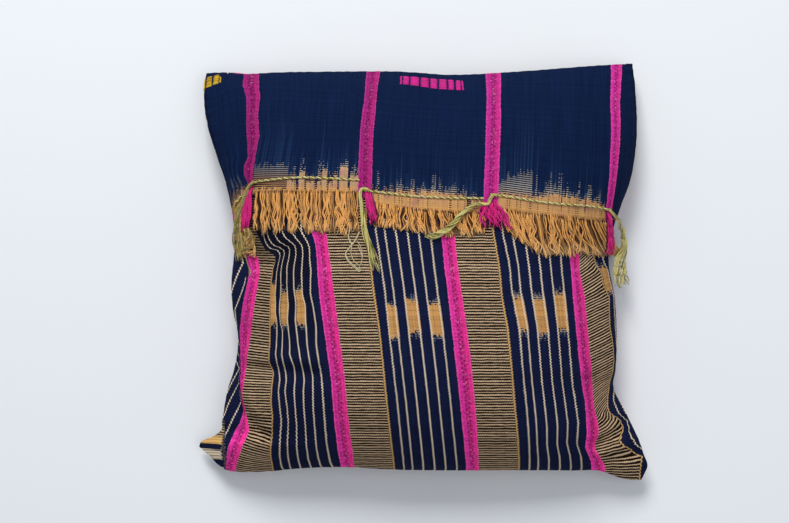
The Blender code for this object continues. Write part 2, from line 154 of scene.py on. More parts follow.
@dataclass(frozen=True)
class Outline:
    """The four sewn edges. Top and bottom rows are x, y. Left and right rows are y, x."""

    top: Rows = (
        (-227, 209), (-205, 208.5), (-180, 206), (-138, 206.4), (-54, 206),
        (-20, 206), (36, 202.5), (97, 206), (178, 214.5), (217, 219))
    bottom: Rows = (
        (-233, -179), (-222, -187), (-213, -196), (-204, -201.5), (-190, -203),
        (-160, -202), (-132, -199), (-90, -197), (-30, -199.5), (0, -200),
        (150, -201), (180, -202), (198, -208.5), (210, -211.5), (222, -212))
    left: Rows = (
        (-179, -233), (-173, -229), (-168, -217), (-162, -209), (-152, -207),
        (-140, -205), (-120, -201), (-100, -194.5), (-80, -190.5), (-60, -190.5),
        (-40, -195), (-18, -197), (38, -194), (63, -197), (93, -204),
        (125, -215), (158, -225), (189, -228.5), (209, -227))
    right: Rows = (
        (-212, 222), (-198, 228), (-186, 224), (-170, 218), (-156, 211),
        (-140, 203), (-128, 196), (-116, 191.5), (-100, 193.5), (-50, 194.5),
        (-25, 193), (12, 187), (50, 193.5), (70, 200), (90, 208), (110, 213),
        (130, 216), (190, 218), (219, 217))

    def place(self, u: Array, v: Array) -> tuple[Array, Array]:
        """Place x, y inside the four edges, for u and v from 0 to 1."""
        (x_bl, y_bl), (x_br, y_br) = self.bottom[0], self.bottom[-1]
        (x_tl, y_tl), (x_tr, y_tr) = self.top[0], self.top[-1]
        bottom_x, top_x = x_bl + (x_br - x_bl) * u, x_tl + (x_tr - x_tl) * u
        left_y, right_y = y_bl + (y_tl - y_bl) * v, y_br + (y_tr - y_br) * v
        corner_x = (1 - v) * bottom_x + v * top_x
        corner_y = (1 - u) * left_y + u * right_y
        x = (corner_x + (1 - u) * (smooth_curve(self.left, left_y) - (1 - v) * x_bl - v * x_tl)
             + u * (smooth_curve(self.right, right_y) - (1 - v) * x_br - v * x_tr))
        y = (corner_y + (1 - v) * (smooth_curve(self.bottom, bottom_x) - (1 - u) * y_bl - u * y_br)
             + v * (smooth_curve(self.top, top_x) - (1 - u) * y_tl - u * y_tr))
        return x, y

    def across_and_along(self, x: Array, y: Array) -> tuple[Array, Array]:
        """How far x, y is from the middle to the seams, -1 to 1, across and along the cover."""
        left, right = smooth_curve(self.left, y), smooth_curve(self.right, y)
        bottom, top = smooth_curve(self.bottom, x), smooth_curve(self.top, x)
        return 2.0 * (x - left) / (right - left) - 1.0, 2.0 * (y - bottom) / (top - bottom) - 1.0


@dataclass(frozen=True)
class Fold:
    """A soft trough or ridge of the face along a line. A trough has a negative rise."""

    x0: float
    y0: float
    x1: float
    y1: float
    rise: float
    width: float

    def relief(self, x: Array, y: Array) -> Array:
        """Rise of this fold at x, y."""
        run_x, run_y = self.x1 - self.x0, self.y1 - self.y0
        run = run_x ** 2 + run_y ** 2
        along = np.clip(((x - self.x0) * run_x + (y - self.y0) * run_y) / run, 0.0, 1.0)
        away = np.hypot(x - self.x0 - along * run_x, y - self.y0 - along * run_y)
        return self.rise * np.exp(-(away / self.width) ** 2)


SOLID_FOLDS = (
    Fold(-193, 165, -180, 74, -6.5, 17), Fold(171, 182, 172, 122, -3.5, 13),
    Fold(199, 190, 195, 110, 1.5, 14), Fold(-164, 34, -138, 17, -5.0, 8),
    Fold(-138, 17, -146, -30, -6.0, 8), Fold(-124, 20, -129, -26, 4.0, 10),
    Fold(-167, 20, -165, -36, -5.5, 7), Fold(-185, -97, -106, -102, -6.0, 7),
    Fold(-178, -84, -116, -88, 4.0, 8), Fold(-187, -112, -173, -140, 5.5, 8),
    Fold(-184, -139, -162, -166, -7.0, 7), Fold(166, -108, 181, -196, -6.0, 8),
    Fold(152, -104, 164, -186, 3.0, 10), Fold(172, -174, 200, -158, -6.5, 6),
    Fold(174, -197, 220, -181, -6.5, 6), Fold(180, -184, 214, -169, 4.5, 6),
) + tuple(Fold(x, 198.0, x + 3.0, 168.0, -2.2, 9.0) for x in (-172, -112, -58, 8, 66, 128, 186))


@dataclass(frozen=True)
class Puckers:
    """Small gathers where the cloth runs into the sewn edges, and a slight slackness all over."""

    seam_rise: float = 0.9
    seam_reach: float = 11.0
    seam_pace: float = 13.0
    slack_rise: float = 0.45
    slack_waves: tuple[Point, ...] = (
        (0.052, 0.021, 0.4), (-0.017, 0.063, 1.9), (0.093, -0.034, 3.1), (0.041, 0.088, 5.2))

    def relief(self, x: Array, y: Array, across: Array, along: Array) -> Array:
        """Rise of the gathers and of the slack cloth at x, y."""
        rise = np.zeros_like(x)
        for share, run, half in ((across, y, 200.0), (along, x, 205.0)):
            away = (1.0 - np.minimum(np.abs(share), 1.0)) * half
            turns = run / self.seam_pace
            wave = np.sin(turns * math.tau + 1.7 * np.sin(turns * 1.9) + np.sign(share))
            rise += self.seam_rise * wave * np.exp(-(away / self.seam_reach) ** 2)
        for pace_x, pace_y, start in self.slack_waves:
            rise += self.slack_rise * np.sin(x * pace_x + y * pace_y + start) / len(self.slack_waves) * 2.0
        return rise


@dataclass(frozen=True)
class Filling:
    """Heights of the filled cushion, front and back, from the same values as its solid."""

    outline: Outline = Outline()
    folds: tuple[Fold, ...] = SOLID_FOLDS
    puckers: Puckers = Puckers()
    side_seam: float = 43.0
    corner_seam: float = 21.0
    ear_drop: float = 7.0
    ear_sharpness: int = 3
    seam_thickness: float = 1.6
    crown_height: float = 76.0
    back_bulge: float = 62.0
    roundness: float = 2.8
    fullness: float = 0.78
    sink: float = 0.12
    eased_from: float = 0.965
    slope_step: float = 0.5

    def crown(self, a: Array) -> Array:
        """Filled profile from seam to seam: 1 in the middle, 0 at -1 and 1 and beyond them."""
        return (1.0 - np.minimum(np.abs(a), 1.0) ** self.roundness) ** self.fullness

    def draped_crown(self, a: Array) -> Array:
        """The same profile for loose yarn, which droops straight past the seam."""
        near = self.eased_from - 0.01
        slope = (self.crown(near) - self.crown(self.eased_from)) / (self.eased_from - near)
        beyond = np.maximum(np.abs(a) - self.eased_from, 0.0)
        return self.crown(np.minimum(np.abs(a), self.eased_from)) - slope * beyond

    def seam_height(self, across: Array, along: Array) -> Array:
        """Height of the sheet in which the sewn edges lie, lowest at the left ear."""
        across, along = np.clip(across, -1.0, 1.0), np.clip(along, -1.0, 1.0)
        corner = np.abs(across * along) ** self.ear_sharpness
        left_ear = corner * np.clip(-across, 0.0, 1.0) * np.clip(-along, 0.0, 1.0)
        return self.side_seam + (self.corner_seam - self.side_seam) * corner - self.ear_drop * left_ear

    def smooth_height(self, x: Array, y: Array, loose: bool = False) -> tuple[Array, Array]:
        """Height of the front without folds, and how filled it is there from 0 to 1."""
        across, along = self.outline.across_and_along(x, y)
        sunk = along + self.sink * (1.0 - along ** 2)
        filled = (self.draped_crown if loose else self.crown)(across) * self.crown(sunk)
        base = self.seam_height(across, along) + self.seam_thickness / 2
        return base + self.crown_height * filled, filled

    def face_height(self, x: Array, y: Array, loose: bool = False) -> Array:
        """Height of the cushion's front at x, y."""
        height, filled = self.smooth_height(x, y, loose)
        across, along = self.outline.across_and_along(x, y)
        folds = sum(fold.relief(x, y) for fold in self.folds)
        return height + folds * np.clip(2.6 * filled, 0.0, 1.0) + self.puckers.relief(x, y, across, along)

    def back_height(self, x: Array, y: Array) -> Array:
        """Height of the cushion's back at x, y, level where it rests on the floor."""
        across, along = self.outline.across_and_along(x, y)
        filled = self.crown(across) * self.crown(along)
        base = self.seam_height(across, along) - self.seam_thickness / 2
        gathers = self.puckers.relief(x, y, across, along) * np.clip(1.0 - filled * 1.4, 0.0, 1.0)
        return np.maximum(0.0, base - self.back_bulge * filled + gathers)

    def over_face(self, x: Array, y: Array, lift: Array, loose: bool = False) -> Array:
        """Points at a distance out of the front.

        Args:
            x: Place across, in millimetres.
            y: Place up the face.
            lift: Distance out of the front.
            loose: Whether the thing there is loose yarn, which droops past the seam.

        Returns:
            The points' x, y and z as the last axis.
        """
        x, y = np.asarray(x, dtype=float), np.asarray(y, dtype=float)
        step = self.slope_step
        slope_x = (self.face_height(x + step, y, loose) - self.face_height(x - step, y, loose)) / (2 * step)
        slope_y = (self.face_height(x, y + step, loose) - self.face_height(x, y - step, loose)) / (2 * step)
        size = np.sqrt(slope_x ** 2 + slope_y ** 2 + 1.0)
        return np.stack([x - slope_x / size * lift, y - slope_y / size * lift,
                         self.face_height(x, y, loose) + lift / size], axis=-1)


@dataclass(frozen=True)
class CoverFrame:
    """Carries the cover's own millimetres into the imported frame's metres."""

    shift_x: float
    shift_y: float

    @classmethod
    def from_body(cls, outline: Outline) -> "CoverFrame":
        """Read the shift from the left ear and the upper right corner, which stand furthest out."""
        low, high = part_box("cushion_body")
        return cls(low.x - outline.left[0][1] * MM, high.y - outline.top[-1][1] * MM)

    def points(self, places: Array) -> Array:
        """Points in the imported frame, in metres, of places in millimetres."""
        return np.asarray(places) * MM + np.array([self.shift_x, self.shift_y, 0.0])


@dataclass(frozen=True)
class ClothLine:
    """One warp line of the striped cloth: its distance across the cloth and its rows of x, y."""

    across: float
    rows: Rows

    def x_at(self, y: Array) -> Array:
        """Where the line crosses the height y."""
        return straight_curve([(row[1], row[0]) for row in self.rows], y)


PITCH = 123.0
JOIN_HALF = 6.5
FLAP_JOIN_HALF = 6.8
CREAM_LINES = (57.5, 65.8, 76.2, 87.1, 97.7, 108.4)
GOLD_LINE = 48.5

LEFT_LINES = (
    ClothLine(CREAM_LINES[3] - PITCH, (
        (-204, 12), (-208, -40), (-205, -70), (-187.4, -97.3), (-194.7, -109), (-206, -130), (-214, -147),
        (-226, -172))),
    ClothLine(CREAM_LINES[4] - PITCH, (
        (-186, 20), (-183, 9.5), (-190, -2.8), (-194.9, -13.4), (-198, -22), (-203, -40), (-196, -75),
        (-178, -97), (-186.4, -110.5), (-198.8, -130.4), (-205.9, -146.6), (-219, -172))),
    ClothLine(CREAM_LINES[5] - PITCH, (
        (-178, 10), (-179.5, -3.3), (-181.8, -14), (-187, -25.5), (-193.4, -38.6), (-190, -70),
        (-172, -110), (-183, -127.6), (-194.5, -147.7), (-204.1, -166.6), (-210, -182))),
)
FACE_LINES = (
    ClothLine(-JOIN_HALF, (
        (-207.5, -200), (-202.9, -189), (-198.6, -174.7), (-192.7, -160), (-187.1, -153), (-182.6, -140),
        (-183.9, -131), (-185.5, -121), (-186.9, -110), (-187.3, -95.6), (-187.7, -81), (-188.4, -59.7),
        (-183.3, -30.5), (-176.8, -1.4), (-180, 13), (-190.5, 24), (-197, 40))),
    ClothLine(JOIN_HALF, (
        (-193, -200), (-189.2, -189), (-183.3, -174.7), (-176.8, -160), (-178.3, -153), (-181.1, -140),
        (-183.3, -131), (-184.1, -121), (-181.9, -110), (-180.1, -95.6), (-178.3, -81), (-174.6, -59.7),
        (-170.3, -30.5), (-165.2, -1.4), (-167, 13), (-177.5, 24), (-183.5, 40))),
    ClothLine(GOLD_LINE, (
        (-154.7, -200), (-155.7, -183.2), (-153.7, -163.5), (-152.5, -144), (-153.7, -129.7),
        (-152.6, -115.4), (-151.1, -101.4), (-155.6, -90), (-155.2, -77.7), (-154.7, -59.8),
        (-154.2, -22.9), (-153.2, -10.7), (-151.6, 1.6), (-148, 12.3), (-149.7, 15.6), (-158.5, 19.3),
        (-164.2, 28.8), (-169.4, 39))),
    ClothLine(CREAM_LINES[0], (
        (-142.6, -203.2), (-145.3, -198.1), (-146.2, -186.5), (-145.4, -169.4), (-143.2, -148.6),
        (-144, -138.3), (-145.7, -119.1), (-144.3, -108), (-148.5, -82.3), (-147.7, -72.9), (-146.8, -51.7),
        (-148.5, -43.5), (-149.2, -23), (-147.8, -2.5), (-146.2, 5.7), (-144.1, 15.7), (-146.6, 19.9),
        (-154.2, 20.8), (-159.7, 27.8), (-162, 36.2))),
    ClothLine(CREAM_LINES[1], (
        (-133.6, -203), (-136.5, -198.1), (-138, -186.5), (-137.6, -169.3), (-136, -148.5),
        (-137.1, -134.1), (-138.9, -117.9), (-137.5, -108), (-142.1, -82.3), (-141.3, -59.9),
        (-143.8, -51.7), (-144.9, -35.3), (-143.3, -18.9), (-143.7, -2.5), (-142.2, 8.2), (-140, 18.2),
        (-142.4, 22.3), (-150.1, 24.1), (-156.2, 31), (-158.7, 38.4))),
    ClothLine(CREAM_LINES[2], (
        (-123.8, -202.5), (-126.2, -198.1), (-127.9, -188.7), (-128.5, -173.3), (-127.9, -153.5),
        (-128.9, -134), (-129.6, -118.8), (-128.7, -107.8), (-129.6, -94.4), (-134.2, -82.2), (-134, -72.9),
        (-136.5, -47.7), (-135.2, -35.5), (-137, -15.1), (-137.3, 3.8), (-135.5, 12.1), (-134.7, 20.3),
        (-136.2, 24.3), (-141.4, 26.2), (-146.5, 29.6), (-151.1, 38.3))),
    ClothLine(CREAM_LINES[3], (
        (-113.3, -201.3), (-115.8, -196.9), (-117.6, -188.7), (-118.8, -173.3), (-119.2, -153.4),
        (-120.2, -133.8), (-120.4, -118.7), (-119.5, -107.8), (-125.6, -72.9), (-128.5, -47.7),
        (-127.4, -31.6), (-129.5, -19.5), (-130, 0.9), (-127.7, 14.7), (-128.2, 22.9), (-132.6, 27.3),
        (-138.6, 31.6), (-142, 37.9))),
    ClothLine(CREAM_LINES[4], (
        (-103, -200.8), (-105.5, -197.1), (-107.4, -188.7), (-109.1, -173.2), (-110, -153.3),
        (-111, -133.7), (-110.8, -118.6), (-110.9, -107.7), (-116.5, -72.8), (-118.1, -47.8), (-118, -35.7),
        (-121.2, -23.6), (-122, -3.4), (-120.5, 14.5), (-121.4, 23.5), (-126.6, 29.4), (-132.2, 37.5))),
    ClothLine(CREAM_LINES[5], (
        (-92.6, -199.7), (-94.1, -197), (-96.2, -190.9), (-97.6, -179.6), (-99.2, -164.7), (-100.1, -142.8),
        (-101.3, -122.5), (-102.3, -107.6), (-107.8, -72.8), (-107.4, -55.9), (-110.6, -35.7),
        (-113.5, -23.6), (-112.7, 0.7), (-114, 8), (-114.5, 22.6), (-118.3, 30.1), (-123, 37.6))),
    ClothLine(PITCH - JOIN_HALF, (
        (-84.8, -200.1), (-85.6, -194.4), (-87.4, -179.5), (-89.4, -158.2), (-91.3, -132.5),
        (-92.8, -107.5), (-100.9, -49.2), (-103.7, -30.9), (-105.6, -12.2), (-107, 12.7), (-109, 27.8),
        (-112.2, 37.9))),
    ClothLine(PITCH + JOIN_HALF, (
        (-71.7, -200.2), (-72.7, -179.4), (-74.9, -158.1), (-76.9, -137.5), (-79.1, -107.4), (-86.4, -49.2),
        (-88.6, -31), (-91.1, -12.4), (-94.4, 12.5), (-96.4, 27.6), (-98.3, 37.6))),
    ClothLine(PITCH + GOLD_LINE, (
        (-31.5, -198), (-32.3, -190.1), (-38.5, -132.1), (-42.2, -94.7), (-45.9, -57.7), (-50.8, -26.9),
        (-54.5, 4), (-58.9, 38))),
    ClothLine(PITCH + CREAM_LINES[0], (
        (-21.4, -198), (-22.1, -190), (-28, -132), (-32.3, -94.7), (-36.6, -57.7), (-40.3, -20.8), (-44, 4),
        (-49.3, 38))),
    ClothLine(PITCH + CREAM_LINES[5], (
        (31.8, -198), (30.8, -190), (25.7, -151.1), (20.1, -100.8), (15.1, -57.7), (10.9, -27), (7, 3.9),
        (3, 38))),
    ClothLine(2 * PITCH - JOIN_HALF, (
        (41.2, -197.7), (40.6, -192.9), (35.9, -157.6), (31.4, -119.5), (26.9, -82.3), (21.9, -35.6),
        (17.1, 3.9), (14, 38))),
    ClothLine(2 * PITCH + JOIN_HALF, (
        (54.2, -197.7), (53.4, -192.9), (49.5, -151.1), (46.3, -119.5), (42.3, -82.4), (34.9, -28.2),
        (30, 3.9), (27, 38))),
    ClothLine(2 * PITCH + GOLD_LINE, (
        (94.4, -198), (93.6, -190.2), (86.8, -138.6), (82.2, -94.8), (78.3, -57.7), (72.8, -26.8),
        (70.2, 4.1), (64.8, 36))),
    ClothLine(2 * PITCH + CREAM_LINES[0], (
        (105.4, -198), (104.6, -190.4), (98.1, -132.4), (93.5, -94.8), (90.2, -57.7), (82.9, -20.6),
        (80.8, 4.2), (74.1, 36))),
    ClothLine(2 * PITCH + CREAM_LINES[5], (
        (158.9, -198.2), (156.5, -186.4), (150.8, -171.5), (151.1, -151.4), (147.5, -128.9), (143.9, -108),
        (132.7, 9))),
    ClothLine(3 * PITCH - JOIN_HALF, (
        (169.6, -200.1), (167.5, -191.5), (163.2, -182.6), (159.7, -175.9), (159.9, -169.6),
        (160.3, -159.1), (159.5, -148.8), (157.9, -128.6), (153.7, -108.2), (150, -78.5), (147, -48.9),
        (144.6, -24.1), (143.7, 1.2), (141.1, 18.8), (140.8, 25.1))),
    ClothLine(3 * PITCH + JOIN_HALF, (
        (184, -201), (183, -196.4), (177.5, -187.6), (171, -178.8), (171.6, -172.8), (173.8, -166.3),
        (174.6, -160.1), (172.8, -149.7), (169.9, -139.4), (168.5, -129.2), (167.3, -108.7), (162.6, -78.6),
        (159.7, -48.9), (157.5, -23.1), (155.5, -14.1), (152.7, -1.2), (152.4, 12.5), (151.6, 25.5))),
    ClothLine(3 * PITCH + GOLD_LINE, (
        (220.5, -212.1), (220.4, -195.5), (222.1, -187), (213.3, -184.4), (208.2, -179), (199.9, -175.6),
        (195.4, -170.6), (197.2, -165.8), (201.1, -158.3), (196.7, -148.9), (184.9, -142.1),
        (182.8, -135.7), (183.9, -126.1), (187, -111), (190.3, -100.3), (191.6, -89.3), (190, -72.7),
        (186.1, -56.2), (185.6, -39.8), (185.9, -25.5), (179.1, -12.5), (177.7, -1.5), (171.4, 5.9),
        (168.3, 14.4))),
    ClothLine(3 * PITCH + CREAM_LINES[0], (
        (229, -212), (229, -195), (231, -186), (216, -176), (208, -164), (205.5, -151), (196, -143),
        (190.5, -130), (194, -111), (197.5, -95), (194.9, -72.7), (193.3, -56.2), (192.8, -45.1),
        (191.8, -23), (187.5, -6.4), (186.5, 1.3), (180, 12))),
)


@dataclass(frozen=True)
class ClothMap:
    """Where each place of the face lies on the striped cloth, in millimetres across and along it.

    Across is read between the warp lines. Along is the way up the crown from y = 0, less the rise
    of the weft there, so that the weft bands slant as they do on the drawn-in cloth.
    """

    filling: Filling
    table_x: Array
    table_y: Array
    travelled: Array
    least_gap: float = 0.05
    stretch: float = 0.3
    edge_pitch: float = 10.4
    edge_step: float = 10.0
    left_reach: Row = (-0.3, 1.0)
    right_reach: Row = (0.0, 1.6)
    ear_from: float = -204.3
    ear_top: float = -150.0
    ear_fade: Row = (0.6, 3.0)
    ear_rows: Rows = ((-200, 66), (-192.5, 60), (-191.5, 57.9), (-180.5, 57.1), (-179.5, 56),
                      (-175.5, 50.6), (-174.7, 48.9), (-166.8, 48.1), (-165.5, 44), (-161, 40))
    left_rise: Rows = ((-200, -5), (-185, -9), (-170, -8), (-155, -3), (-140, 0),
                       (-115, 0), (-95, -2.5), (-50, -2.5), (10, -2))
    right_rise: Rows = ((-212, 0), (-195, 4), (-182, 9), (-170, 8), (-150, 18),
                        (-125, 18), (-100, 12), (-30, 13), (5, 15))

    @classmethod
    def of(cls, filling: Filling, step_x: float = 5.0, step_y: float = 1.0) -> "ClothMap":
        """Measure the way up the crown, without its folds, along evenly spaced columns."""
        table_x, table_y = np.arange(-240.0, 241.0, step_x), np.arange(-216.0, 221.0, step_y)
        x, y = np.meshgrid(table_x, table_y)
        height, _ = filling.smooth_height(x, y)
        runs = np.hypot(np.diff(height, axis=0), step_y)
        travelled = np.concatenate([np.zeros((1, len(table_x))), np.cumsum(runs, axis=0)])
        middle = np.argmin(np.abs(table_y))
        return cls(filling, table_x, table_y, travelled - travelled[middle])

    def way_up(self, x: Array, y: Array) -> Array:
        """Distance over the crown from y = 0 to y, at x."""
        (column, part_x), (row, part_y) = self._cell(x, self.table_x), self._cell(y, self.table_y)
        lower, upper = (self.travelled[at, column] * (1 - part_x) + self.travelled[at, column + 1] * part_x
                        for at in (row, row + 1))
        return lower * (1 - part_y) + upper * part_y

    def _cell(self, place: Array, table: Array) -> tuple[Array, Array]:
        """Which step of an even table each place is in, and how far on in it from 0 to 1."""
        at = np.clip((place - table[0]) / (table[1] - table[0]), 0, len(table) - 1.001)
        return at.astype(int), at - at.astype(int)

    def knots(self, y: Array) -> list[tuple[float, Array]]:
        """Distances across the cloth, rising, with the x at which the height y crosses each."""
        right = [(line.across, line.x_at(y)) for line in FACE_LINES]
        edge = right[0][1]
        left = []
        for line in reversed(LEFT_LINES):
            edge = np.minimum(line.x_at(y), edge - self.least_gap)
            left.append((line.across, edge))
        for step in (1, 2, 3, 8):
            left.append((LEFT_LINES[0].across - self.edge_pitch * step, edge - self.edge_step * step))
        return left[::-1] + right

    def across(self, x: Array, y: Array) -> Array:
        """Distance across the cloth at x, y."""
        knots = self.knots(y)
        (first, x_first), (last, x_last) = knots[0], knots[-1]
        found = first + (x - x_first)
        for (here, x_here), (there, x_there) in zip(knots, knots[1:]):
            part = (x - x_here) / np.maximum(x_there - x_here, self.least_gap)
            found = np.where(x >= x_here, here + (there - here) * part, found)
        found = np.where(x >= x_last, last + (x - x_last), found)
        ear = straight_curve(self.ear_rows, y) - PITCH
        fade_x, fade_y = self.ear_fade
        in_ear = ease((self.ear_from - x) / fade_x) * ease((self.ear_top - y) / fade_y)
        return found * (1 - in_ear) + ear * in_ear

    def along(self, x: Array, y: Array, across: Array) -> Array:
        """Distance along the cloth at x, y, given how far across it is."""
        left = straight_curve(self.left_rise, y)
        right = straight_curve(self.right_rise, y)
        fade = ease((PITCH - across) / (PITCH - CREAM_LINES[2]))
        rise = left * np.clip(across / GOLD_LINE, *self.left_reach) * fade
        rise = rise + right * np.clip((across - 3 * PITCH) / GOLD_LINE, *self.right_reach)
        return y + (self.way_up(x, y) - y) * self.stretch - rise

    def uv(self, x: Array, y: Array) -> Array:
        """Distances across and along the cloth, in metres, as the last axis."""
        across = self.across(x, y)
        return np.stack([across, self.along(x, y, across)], axis=-1) * MM


def grid_faces(columns: int, rows: int, start: int = 0, turned: bool = False) -> Array:
    """Four-sided faces of a grid of points, stored row by row.

    Args:
        columns: Number of faces across.
        rows: Number of faces up.
        start: Index of the grid's first point.
        turned: Whether the faces look the other way.

    Returns:
        One row of four point indices for each face.
    """
    first = (np.arange(rows)[:, None] * (columns + 1) + np.arange(columns)[None, :]).ravel() + start
    faces = np.stack([first, first + 1, first + columns + 2, first + columns + 1], axis=-1)
    return faces[:, ::-1] if turned else faces


def rim_loop(columns: int, rows: int) -> Array:
    """Indices of a grid's outer points, in order round it and counter-clockwise from the front."""
    bottom = np.arange(columns)
    right = columns + np.arange(rows) * (columns + 1)
    top = rows * (columns + 1) + columns - np.arange(columns)
    left = (rows - np.arange(rows)) * (columns + 1)
    return np.concatenate([bottom, right, top, left])


def band_faces(upper: Array, lower: Array) -> Array:
    """Faces of a closed band between two loops of point indices, the upper one inside."""
    return np.stack([upper, lower, np.roll(lower, -1), np.roll(upper, -1)], axis=-1)


def closed_sheet(columns: int, rows: int) -> tuple[Array, list[Array]]:
    """Faces of a sheet with two sides, each a grid of points, and a ring of points round its edge.

    Args:
        columns: Number of faces across.
        rows: Number of faces up.

    Returns:
        The indices of the upper side's outer points, and the faces of the upper side, of the lower
        side and of the edge's upper and lower half.
    """
    loop, size = rim_loop(columns, rows), (columns + 1) * (rows + 1)
    ring = np.arange(len(loop)) + 2 * size
    return loop, [grid_faces(columns, rows), grid_faces(columns, rows, size, True),
                  band_faces(loop, ring), band_faces(ring, loop + size)]


@dataclass
class MeshParts:
    """Points, faces and face-corner maps of a mesh in the making, gathered piece by piece."""

    points: list[Array]
    faces: list[Array]
    maps: list[Array]
    slots: list[Array]
    tones: list[Array]
    count: int = 0

    @classmethod
    def empty(cls) -> "MeshParts":
        """Start with nothing."""
        return cls([], [], [], [], [])

    def add(self, points: Array, faces: Sequence[Array], maps: Sequence[Array], slots: Sequence[int],
            tones: Optional[Array] = None) -> None:
        """Add points with the faces between them.

        Args:
            points: Rows of x, y, z in metres.
            faces: Arrays of faces, whose indices count from these points' first.
            maps: For each array of faces, the map place of every face corner.
            slots: For each array of faces, its material slot.
            tones: A tone from 0 to 1 for each point.
        """
        for block, block_map, slot in zip(faces, maps, slots):
            self.faces.append(block + self.count)
            self.maps.append(block_map.reshape(-1, 2))
            self.slots.append(np.full(len(block), slot))
        self.points.append(points.reshape(-1, 3))
        self.tones.append(np.full(len(self.points[-1]), 0.5) if tones is None else tones.ravel())
        self.count += len(self.points[-1])

    def build(self, name: str, materials: Sequence[Material]) -> Piece:
        """Make the object, smooth all over, with its map "cloth" and its attribute "tone"."""
        mesh = bpy.data.meshes.new(name)
        faces = [face for block in self.faces for face in block.tolist()]
        mesh.from_pydata(np.concatenate(self.points).tolist(), [], faces)
        mesh.uv_layers.new(name="cloth").data.foreach_set("uv", np.concatenate(self.maps).ravel())
        mesh.attributes.new("tone", "FLOAT", "POINT").data.foreach_set("value", np.concatenate(self.tones))
        for material in materials:
            mesh.materials.append(material)
        mesh.polygons.foreach_set("material_index", np.concatenate(self.slots).astype(np.int32))
        mesh.shade_smooth()
        piece = bpy.data.objects.new(name, mesh)
        bpy.context.scene.collection.objects.link(piece)
        return piece


def corner_map(faces: Array, point_map: Array) -> Array:
    """Map place of every face corner, from one for each point."""
    return point_map[faces.ravel()]


def tube_parts(parts: MeshParts, centres: Array, outward: Array, radii: Array, sides: int,
               tones: Array) -> None:
    """Add closed round yarns to a mesh.

    Args:
        parts: The mesh in the making.
        centres: Centre lines in metres, as yarns by points by x, y, z.
        outward: Directions out of the face at those points.
        radii: Radius in metres at each point.
        sides: Number of sides.
        tones: One tone for each yarn.
    """
    count, rings = centres.shape[:2]
    run = np.gradient(centres, axis=1)
    run /= np.linalg.norm(run, axis=-1, keepdims=True)
    up = outward - run * np.sum(outward * run, axis=-1, keepdims=True)
    up /= np.linalg.norm(up, axis=-1, keepdims=True)
    side = np.cross(up, run)
    turn = np.arange(sides) / sides * math.tau
    points = centres[:, :, None] + radii[:, :, None, None] * (
        np.cos(turn)[:, None] * side[:, :, None] + np.sin(turn)[:, None] * up[:, :, None])
    travelled = np.concatenate([np.zeros((count, 1)), np.cumsum(
        np.linalg.norm(np.diff(centres, axis=1), axis=-1), axis=1)], axis=1)
    yarn, ring, corner = np.meshgrid(np.arange(count), np.arange(rings - 1), np.arange(sides),
                                     indexing="ij")
    here = (yarn * rings + ring) * sides
    following = (corner + 1) % sides
    quads = np.stack([here + corner, here + following, here + sides + following, here + sides + corner],
                     axis=-1)
    turns = np.stack([corner, corner + 1, corner + 1, corner], axis=-1) / sides
    ways = np.stack([travelled[yarn, ring]] * 2 + [travelled[yarn, ring + 1]] * 2, axis=-1)
    first = np.arange(count)[:, None] * rings * sides
    ends = [first + np.arange(sides)[None, ::-1], first + (rings - 1) * sides + np.arange(sides)[None, :]]
    end_maps = [np.stack(np.broadcast_arrays(0.5, travelled[:, [at]] + np.zeros(sides)), axis=-1)
                for at in (0, rings - 1)]
    parts.add(points, [quads.reshape(-1, 4), *ends], [np.stack([turns, ways], axis=-1), *end_maps],
              (0, 0, 0), np.repeat(tones, rings * sides))


class Reading:
    """A value or colour on its way through a shader. Arithmetic on it adds Math nodes."""

    def __init__(self, graph: "Graph", socket: Socket) -> None:
        """Hold one output of a node."""
        self.graph, self.socket = graph, socket

    def __add__(self, other: "Value") -> "Reading":
        """Sum."""
        return self.graph.math("ADD", self, other)

    def __mul__(self, other: "Value") -> "Reading":
        """Product."""
        return self.graph.math("MULTIPLY", self, other)

    __radd__, __rmul__ = __add__, __mul__

    def __sub__(self, other: "Value") -> "Reading":
        """Difference."""
        return self.graph.math("SUBTRACT", self, other)

    def __rsub__(self, other: float) -> "Reading":
        """What is left of a number."""
        return self.graph.math("SUBTRACT", other, self)

    def __truediv__(self, other: "Value") -> "Reading":
        """Quotient."""
        return self.graph.math("DIVIDE", self, other)

    def __pow__(self, other: "Value") -> "Reading":
        """Power."""
        return self.graph.math("POWER", self, other)

    def __abs__(self) -> "Reading":
        """The value without its sign."""
        return self.graph.math("ABSOLUTE", self)

    def __gt__(self, limit: "Value") -> "Reading":
        """Mask of 1 where it is above a limit."""
        return self.graph.math("GREATER_THAN", self, limit)

    def __lt__(self, limit: "Value") -> "Reading":
        """Mask of 1 where it is below a limit."""
        return self.graph.math("LESS_THAN", self, limit)

    def at_least(self, other: "Value") -> "Reading":
        """The larger of two values."""
        return self.graph.math("MAXIMUM", self, other)

    def at_most(self, other: "Value") -> "Reading":
        """The smaller of two values."""
        return self.graph.math("MINIMUM", self, other)

    def whole(self) -> "Reading":
        """The whole number below it."""
        return self.graph.math("FLOOR", self)

    def rest(self) -> "Reading":
        """What it has over the whole number below it."""
        return self.graph.math("FRACT", self)

    def odd(self) -> "Reading":
        """1 for an odd whole number, 0 for an even one."""
        return self.graph.math("PINGPONG", self, 1.0)

    def sine(self) -> "Reading":
        """Its sine."""
        return self.graph.math("SINE", self)

    def dice(self, start: float = 0.0) -> "Reading":
        """A different number from 0 to 1 for each whole number, and for each start."""
        node = self.graph.add("TexWhiteNoise", noise_dimensions="1D")
        self.graph.feed(node.inputs["W"], self.whole() + (start + 0.5))
        return Reading(self.graph, node.outputs["Value"])


Value = Union[float, Reading]
Readings = dict[str, Reading]


